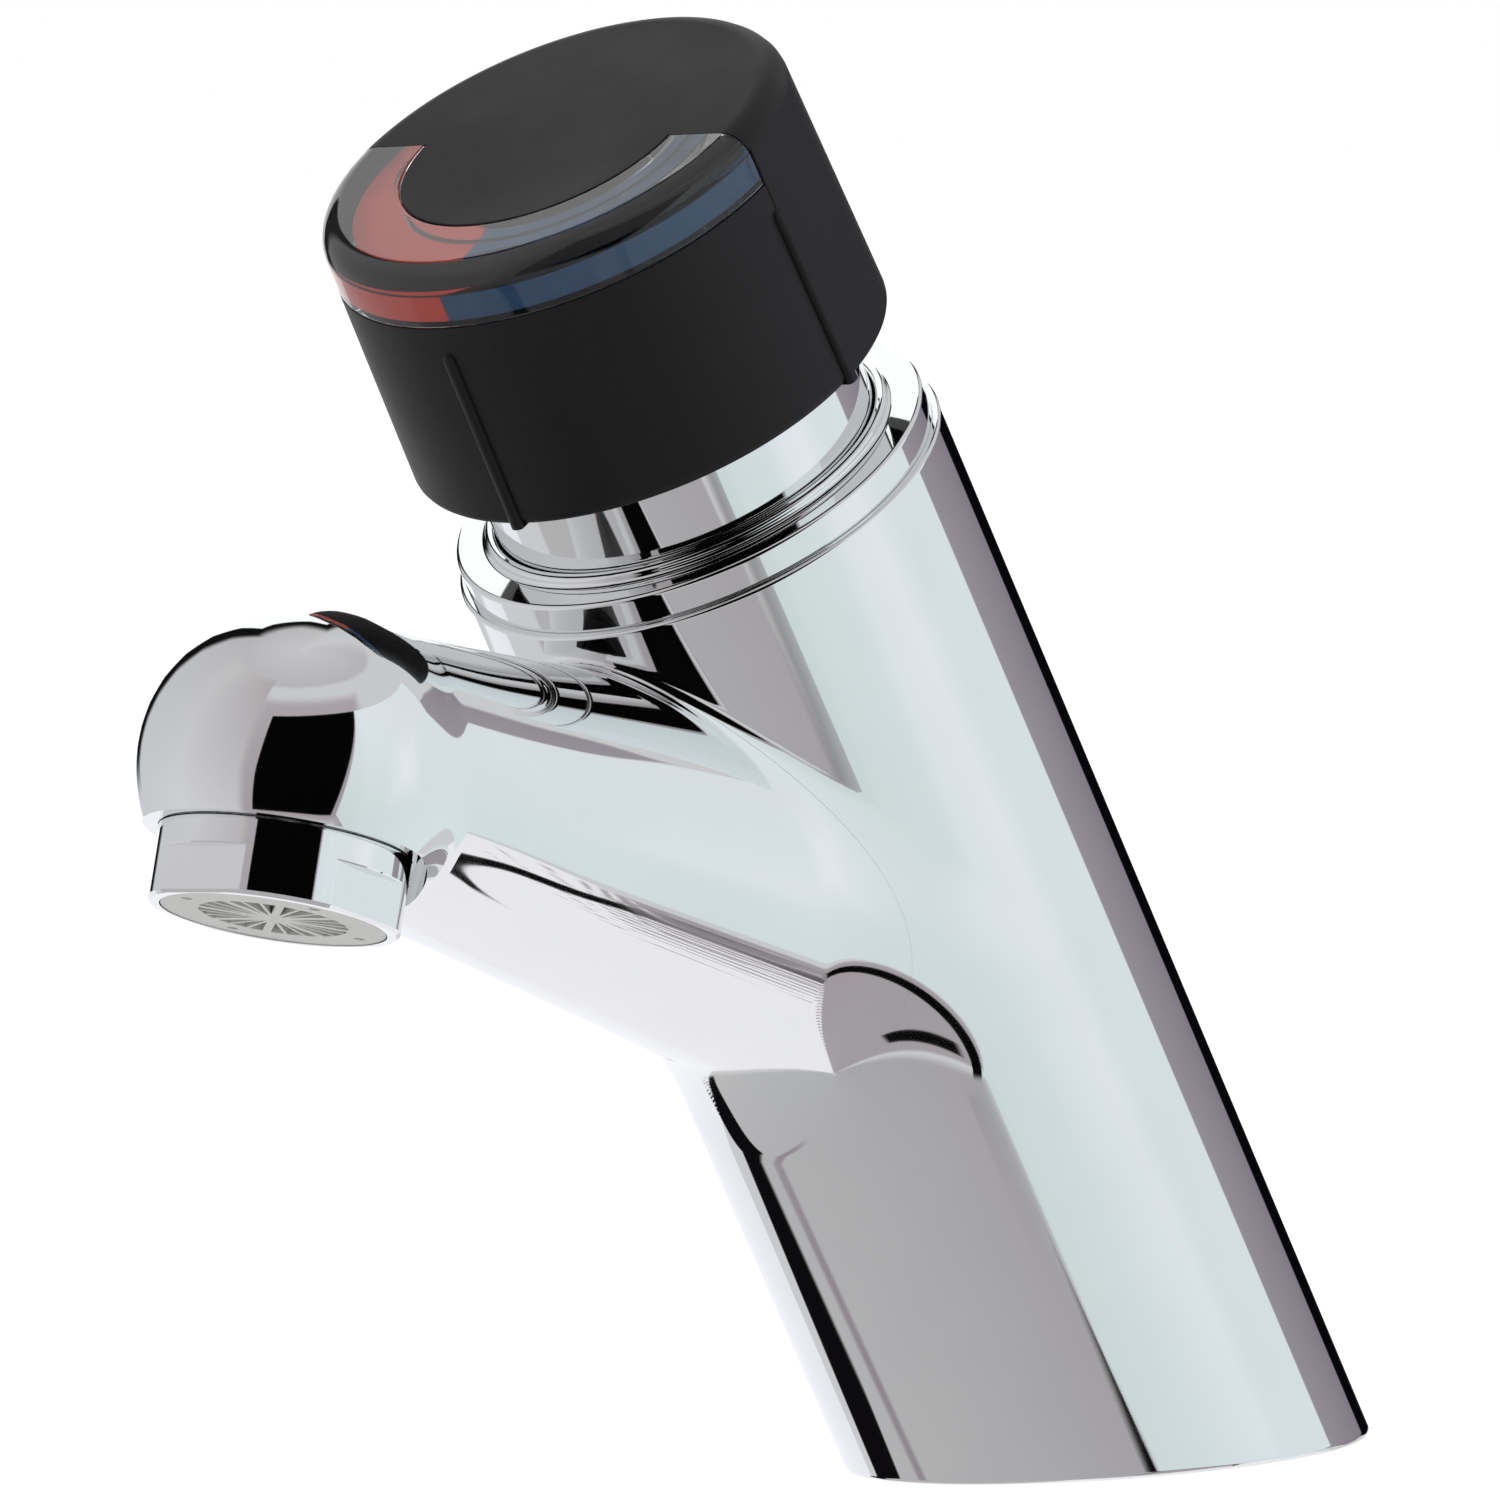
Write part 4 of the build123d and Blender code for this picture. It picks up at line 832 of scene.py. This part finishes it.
def shell(inner, outer, bottom, top, turns):
    # box section swept round the axis; its inner and outer radius may vary with the turn
    ring = ringDirs(turns)
    flat = np.ones_like(turns)
    section = [(inner, bottom), (outer, bottom), (outer, top), (inner, top), (inner, bottom)]
    rows = np.stack([(r * flat)[:, None] * ring + level * axisDir for r, level in section], 0)
    sides = [strip(rows[k:k + 2], n) for k, n in enumerate((-axisDir, ring, axisDir, -ring))]
    ends = [strip([rows[0:2, k], rows[[3, 2], k]], endNormal(turns[k], sign)) for k, sign in bothEnds]
    return sides + ends


def printBacking(piece):
    # marks the faces of a band that don't look outwards
    count = len(piece.data.polygons)
    centres, facing = np.empty(count * 3), np.empty(count * 3)
    piece.data.polygons.foreach_get("center", centres)
    piece.data.polygons.foreach_get("normal", facing)
    centres, facing = centres.reshape(-1, 3), facing.reshape(-1, 3)
    outwards = unit(centres - (centres @ axisDir)[:, None] * axisDir)
    backing = ((facing * outwards).sum(1) < 0.5).astype(float)
    piece.data.attributes.new("backing", "FLOAT", "FACE").data.foreach_set("value", backing)


f = film
for name, slotName, start, stop in (("hot", "red_print", -pi / 2, f["change"]),
                                    ("cold", "blue_print", f["change"], pi / 2)):
    turns = np.linspace(start, stop, f["steps"])
    narrow = smooth((turns - f["narrowTurn"]) / f["narrowSpan"])
    leave = smooth((f["leaveTurn"] - turns) / f["leaveSpan"])
    outer = f["hotOuter"] + (f["coldOuter"] - f["hotOuter"]) * narrow
    inner = f["inner"] + (f["innerEnd"] - f["inner"]) * leave
    crescent = assemble(name + "Crescent", shell(inner, outer, f["level"], f["level"] + f["thick"], turns))
    dress(crescent, "button", slotName, name + "_crescent")
    band = assemble(name + "Band", shell(f["bandRadius"], f["bandRadius"] + f["bandThick"],
                                         f["bandBottom"], f["bandTop"], turns))
    printBacking(band)
    dress(band, "button", slotName, name + "_band")
print("window and film")

# aerator housing: a ring whose lower part is cut to four wrench flats, on its threaded neck;
# a drop is a distance from the seat in the mouth along the outlet's axis
aerator = {
    "radius": 12.0,
    "drop": 7.4,
    "flatTop": 2.8,            # where the wrench flats start
    "halfFlat": 11.0,
    "rimInner": 10.8,
    "starTop": 5.8,
    "bore": 10.3,
    "thread": 11.95,
    "threadTop": -5.4,
    "gap": 0.02,
    "edge": 0.35,
    "soft": 0.12,
    "steps": 385,
}
h = aerator
turns = np.linspace(0, 2 * pi, h["steps"])
ring = np.cos(turns)[:, None] * outletFront + np.sin(turns)[:, None] * rightDir
frontMost = np.abs(np.cos(turns)) > np.abs(np.sin(turns))
square = h["halfFlat"] / np.maximum(np.abs(np.cos(turns)), np.abs(np.sin(turns)))
flatRadius = np.minimum(h["radius"], square)
onFlat = square < h["radius"] - 1e-6
flatNormal = np.where(frontMost[:, None], np.sign(np.cos(turns))[:, None] * outletFront,
                      np.sign(np.sin(turns))[:, None] * rightDir)
wallNormal = np.where(onFlat[:, None], flatNormal, ring)
shelf = np.maximum(flatRadius, np.where(onFlat, h["radius"] - h["soft"], 0))
lowEdge = np.minimum(flatRadius, h["radius"] - h["edge"])
stations = [  # (radius, drop) round the section
    (h["bore"], h["threadTop"]), (h["thread"], h["threadTop"]), (h["thread"], h["gap"]),
    (h["radius"] - h["soft"], h["gap"]), (h["radius"], h["gap"] + h["soft"]),
    (h["radius"], h["flatTop"] - h["soft"]), (shelf, h["flatTop"]), (flatRadius, h["flatTop"]),
    (flatRadius, h["drop"] - h["edge"]), (lowEdge, h["drop"]), (h["rimInner"], h["drop"]),
    (h["rimInner"], h["starTop"]), (h["bore"], h["starTop"]), (h["bore"], h["threadTop"])]
shelfNormal = unit(ring + np.where(onFlat[:, None], outletDir, 0))
facings = [-outletDir, ring, -outletDir, unit(ring - outletDir), ring, shelfNormal, outletDir, wallNormal,
           unit(wallNormal + outletDir), outletDir, -ring, outletDir, -ring]
rows = [mouthCentre + (radius * np.ones(len(turns)))[:, None] * ring + drop * outletDir
        for radius, drop in stations]
patches = [strip(rows[k:k + 2], facing) for k, facing in enumerate(facings)]
dress(assemble("aeratorHousing", patches), "tap_body", "chrome", "aerator_housing")
print("aerator")

# studio: glowing cards that only reflections see, a white floor and a plain pale world
studio = {
    "centre": (0.0, -0.035, 0.075),
    "distance": 1.2,
    "layerGap": 0.05,          # a layer lies this share of the distance behind the one before
    "cardSteps": 49,
    "gain": 1.19,              # brightness of the cards and of the world in reflections
    "surround": "#c9c8c9",
    "fill": 0.62,              # brightness of the world for everything else
    "floorHalf": 6.0,
    "floorPaint": "#f4f4f3",
    "floorLift": 0.55,         # added for the camera alone, so that the floor goes to white
    "lampAim": (0.0, -0.05, 0.08),
    "lampSize": 1.2,
    "lamps": {"keyLamp": ((-0.9, -1.3, 1.5), 16), "sideLamp": ((1.6, -0.3, 1.0), 9)},  # place, watts
}
# every card has its layer, the width of its soft edge as a share of the card, the tones of its four
# corners and their (azimuth, elevation) in degrees round the tap; azimuth 0 is out in front of the
# spout and 90 is at its right hand
cards = {
    "cameraHalo": (2, 0.10, ("#a39c9f", "#968e92", "#a9a1a5", "#ada6a9"),
                   ((-6, -24), (68, -36), (92, 50), (2, 52))),
    "cameraFlag": (1, 0.01, ("#040404",) * 4, ((6, -18), (61, -27), (79, 36), (16, 38))),
    "rightBox": (1, 0.008, ("#cdd7d7", "#d6e0e2", "#d9dde0", "#dfe4e7"),
                 ((79, -42), (168, -44), (146, 38), (80, 36))),
    "rightBoxGlow": (0.9, 0.5, ("#e4e7ec",) * 4, ((98, -34), (136, -26), (134, 24), (96, 16))),
    "rightBoxLeft": (1, 0.004, ("#cbd5d5", "#cbd5d5", "#dce1e3", "#dce1e3"),
                     ((64, -27), (79.6, -42), (80.6, 36), (79, 36))),
    "rightBoxSide": (1.5, 0.3, ("#6b6063", "#c8d2d2", "#c8d2d2", "#8d8387"),
                     ((66, -47), (84, -42), (84, -20), (62, -26))),
    "rightBoxFoot": (1, 0.06, ("#070707",) * 4, ((76, -41.5), (131, -47), (131, -49.5), (75, -44.5))),
    "blobLine": (1, 0.1, ("#090909",) * 4, ((82, -46), (86, -46), (90, -66), (85, -66))),
    "backPanel": (2, 0.02, ("#958e94", "#7c7580", "#7c7580", "#989197"),
                  ((155, -26), (190, -26), (190, 24), (150, 24))),
    "backFlag": (1, 0.06, ("#07070a",) * 4, ((187, -14), (203, -14), (203, 14), (187, 14))),
    "leftBox": (1, 0.02, ("#ffffff",) * 4, ((206, -10), (246, -10), (246, 56), (206, 56))),
    "leftBoxEdge": (2, 0.10, ("#101011",) * 4, ((196, -14), (258, -5), (262, 66), (196, 68))),
    "leftFoot": (1, 0.04, ("#ececf0", "#e4e4e9", "#e4e4e9", "#ececf0"),
                 ((222, -4), (268, -22), (260, -27.5), (222, -34))),
    "leftFlag": (1, 0.05, ("#0d0b0d",) * 4, ((232, -27), (278, -33), (279, -40.5), (232, -34))),
    "leftWall": (3, 0.06, ("#c3c5c8", "#d3d2d5", "#bfbdbe", "#adabad"),
                 ((-132, -20), (-44, -20), (-44, 64), (-132, 64))),
    "frontWall": (3, 0.06, ("#d3d2d5", "#c3c1c2", "#aaa2a5", "#bfbdbe"),
                  ((-52, -20), (10, -22), (8, 64), (-52, 64))),
    "tableFront": (4, 0.02, ("#b2b1b2", "#aaa8aa", "#a49fa2", "#b7b6b7"),
                   ((-130, -89.9), (80, -89.9), (80, -40), (-130, -33))),
    "tableSeam": (3, 0.4, ("#8f878b",) * 4, ((-80, -34), (-74, -34), (-60, -62), (-66, -62))),
    "tableSide": (4, 0.02, ("#a29b9f", "#a9a2a6", "#9d9599", "#a49da1"),
                  ((80, -89.9), (146, -89.9), (146, -46), (80, -40))),
    "tableBack": (4, 0.02, ("#eae8eb",) * 4, ((146, -89.9), (230, -89.9), (230, -20), (128, -46))),
    "backLine": (1, 0.1, ("#0a0a0a",) * 4, ((129, -47.5), (180, -63.8), (180, -65.2), (129, -50))),
    "ceiling": (4, 0.1, ("#b6b2b4", "#b6b2b4", "#c6c3c5", "#c6c3c5"),
                ((-180, 56), (180, 56), (180, 89.9), (-180, 89.9))),
}


def studioCard(name, layer, feather, tones, corners):
    # four-cornered piece of a sphere round the tap, seen only in reflections;
    # each point of it is blended from the four corners, and its rim fades out
    even = np.linspace(0, 1, studio["cardSteps"])
    denseAtEdges = (1 - np.cos(even * pi)) / 2
    u, v = np.meshgrid(denseAtEdges, denseAtEdges, indexing="ij")
    weights = np.stack([(1 - u) * (1 - v), u * (1 - v), u * v, (1 - u) * v], -1)
    spot = np.radians(weights @ np.array(corners, float))
    azimuth, elevation = spot[..., 0], spot[..., 1]
    away = np.stack([np.sin(azimuth) * np.cos(elevation), -np.cos(azimuth) * np.cos(elevation),
                     np.sin(elevation)], -1)
    reach = studio["distance"] * (1 + studio["layerGap"] * layer)
    grid = np.array(studio["centre"]) + away * reach
    glow = weights @ np.array([colour(tone) for tone in tones])
    glow[..., 3] = smooth(np.minimum(np.minimum(u, 1 - u), np.minimum(v, 1 - v)) / feather)
    mesh = bpy.data.meshes.new(name)
    mesh.from_pydata(grid.reshape(-1, 3).tolist(), [], gridQuads(*u.shape).tolist())
    mesh.color_attributes.new("glow", "FLOAT_COLOR", "POINT").data.foreach_set("color", glow.ravel())
    mesh.materials.append(cardGlow)
    card = inScene(name, mesh)
    card.visible_camera = False
    card.visible_diffuse = False
    card.visible_shadow = False
    card.visible_transmission = False


cardGlow = emptyNodes(bpy.data.materials.new("cardGlow"))
tone = addNode(cardGlow, "ShaderNodeAttribute", {"attribute_name": "glow"})
glow = addNode(cardGlow, "ShaderNodeEmission", {"Strength": studio["gain"]}, {"Color": (tone, "Color")})
clear = addNode(cardGlow, "ShaderNodeBsdfTransparent")
both = addNode(cardGlow, "ShaderNodeMixShader", links={0: (tone, "Alpha"), 1: (clear, 0), 2: (glow, 0)})
addNode(cardGlow, "ShaderNodeOutputMaterial", links={"Surface": (both, 0)})
for name, values in cards.items():
    studioCard(name, *values)

half = studio["floorHalf"]
floorMesh = bpy.data.meshes.new("floor")
floorMesh.from_pydata([(-half, -half, 0), (half, -half, 0), (half, half, 0), (-half, half, 0)], [],
                      [(0, 1, 2, 3)])
floor = inScene("floor", floorMesh)
paint = emptyNodes(bpy.data.materials.new("whitePaperFloor"))
matt = addNode(paint, "ShaderNodeBsdfDiffuse", {"Color": colour(studio["floorPaint"])})
path = addNode(paint, "ShaderNodeLightPath")
lift = addNode(paint, "ShaderNodeMath", {"operation": "MULTIPLY", 1: studio["floorLift"]},
               {0: (path, "Is Camera Ray")})
glow = addNode(paint, "ShaderNodeEmission", {"Color": (1, 1, 1, 1)}, {"Strength": (lift, 0)})
both = addNode(paint, "ShaderNodeAddShader", links={0: (matt, 0), 1: (glow, 0)})
addNode(paint, "ShaderNodeOutputMaterial", links={"Surface": (both, 0)})
floorMesh.materials.append(paint)
floor.visible_glossy = False

world = emptyNodes(bpy.data.worlds.new("studioWorld"))
bpy.context.scene.world = world
path = addNode(world, "ShaderNodeLightPath")
white = addNode(world, "ShaderNodeBackground", {"Color": (1, 1, 1, 1), "Strength": 1.0})
mix = addNode(world, "ShaderNodeBackground", {"Color": (1, 1, 1, 1), "Strength": studio["fill"]})
wall = addNode(world, "ShaderNodeBackground",
               {"Color": colour(studio["surround"]), "Strength": studio["gain"]})
for ray, seen in (("Is Glossy Ray", wall), ("Is Transmission Ray", white), ("Is Camera Ray", white)):
    mix = addNode(world, "ShaderNodeMixShader", links={0: (path, ray), 1: (mix, 0), 2: (seen, 0)})
addNode(world, "ShaderNodeOutputWorld", links={"Surface": (mix, 0)})

for name, (place, watts) in studio["lamps"].items():
    lamp = bpy.data.lights.new(name, "AREA")
    lamp.shape = "SQUARE"
    lamp.size = studio["lampSize"]
    lamp.energy = watts
    holder = inScene(name, lamp)
    holder.location = place
    toAim = Vector(studio["lampAim"]) - Vector(place)
    holder.rotation_euler = toAim.to_track_quat("-Z", "Y").to_euler()
    holder.visible_glossy = False
print("studio")

# camera: placed and turned as the photo was taken; target and distance in mm, scale and shift in
# pixels of the photo's 1500 pixel frame
view = {
    "target": np.array([0, -35, 75]),
    "azimuth": radians(38.31),
    "elevation": radians(3.2),
    "roll": radians(-2.98),
    "distance": 1400.0,
    "scale": 10.17,
    "shift": (106.55, -16.58),
    "side": 1500,
    "sensor": 36.0,
    "nearest": 0.05,           # metres in front of the camera at which its view starts and ends
    "farthest": 50.0,
}
azimuth, elevation, roll = view["azimuth"], view["elevation"], view["roll"]
towards = np.array([sin(azimuth) * cos(elevation), -cos(azimuth) * cos(elevation), sin(elevation)])
level = np.array([cos(azimuth), sin(azimuth), 0.0])
upright = np.cross(towards, level)
pictureRight = cos(roll) * level + sin(roll) * upright
pictureUp = -sin(roll) * level + cos(roll) * upright
eye = view["target"] + view["distance"] * towards
shiftRight, shiftUp = view["shift"][0] / view["scale"], view["shift"][1] / view["scale"]
middle = view["target"] - shiftRight * pictureRight + shiftUp * pictureUp
cameraZ = unit(eye - middle)
cameraX = unit(np.cross(pictureUp, cameraZ))
cameraY = np.cross(cameraZ, cameraX)
camera = inScene("camera", bpy.data.cameras.new("camera"))
camera.data.sensor_width = view["sensor"]
camera.data.lens = view["scale"] * view["distance"] / view["side"] * view["sensor"]
camera.data.clip_start = view["nearest"]
camera.data.clip_end = view["farthest"]
placed = np.vstack([np.column_stack([cameraX, cameraY, cameraZ, eye * mm]), [0, 0, 0, 1]])
camera.matrix_world = Matrix(placed.tolist())
bpy.context.scene.camera = camera
bpy.context.scene.view_settings.view_transform = "Standard"

print("scene ready")
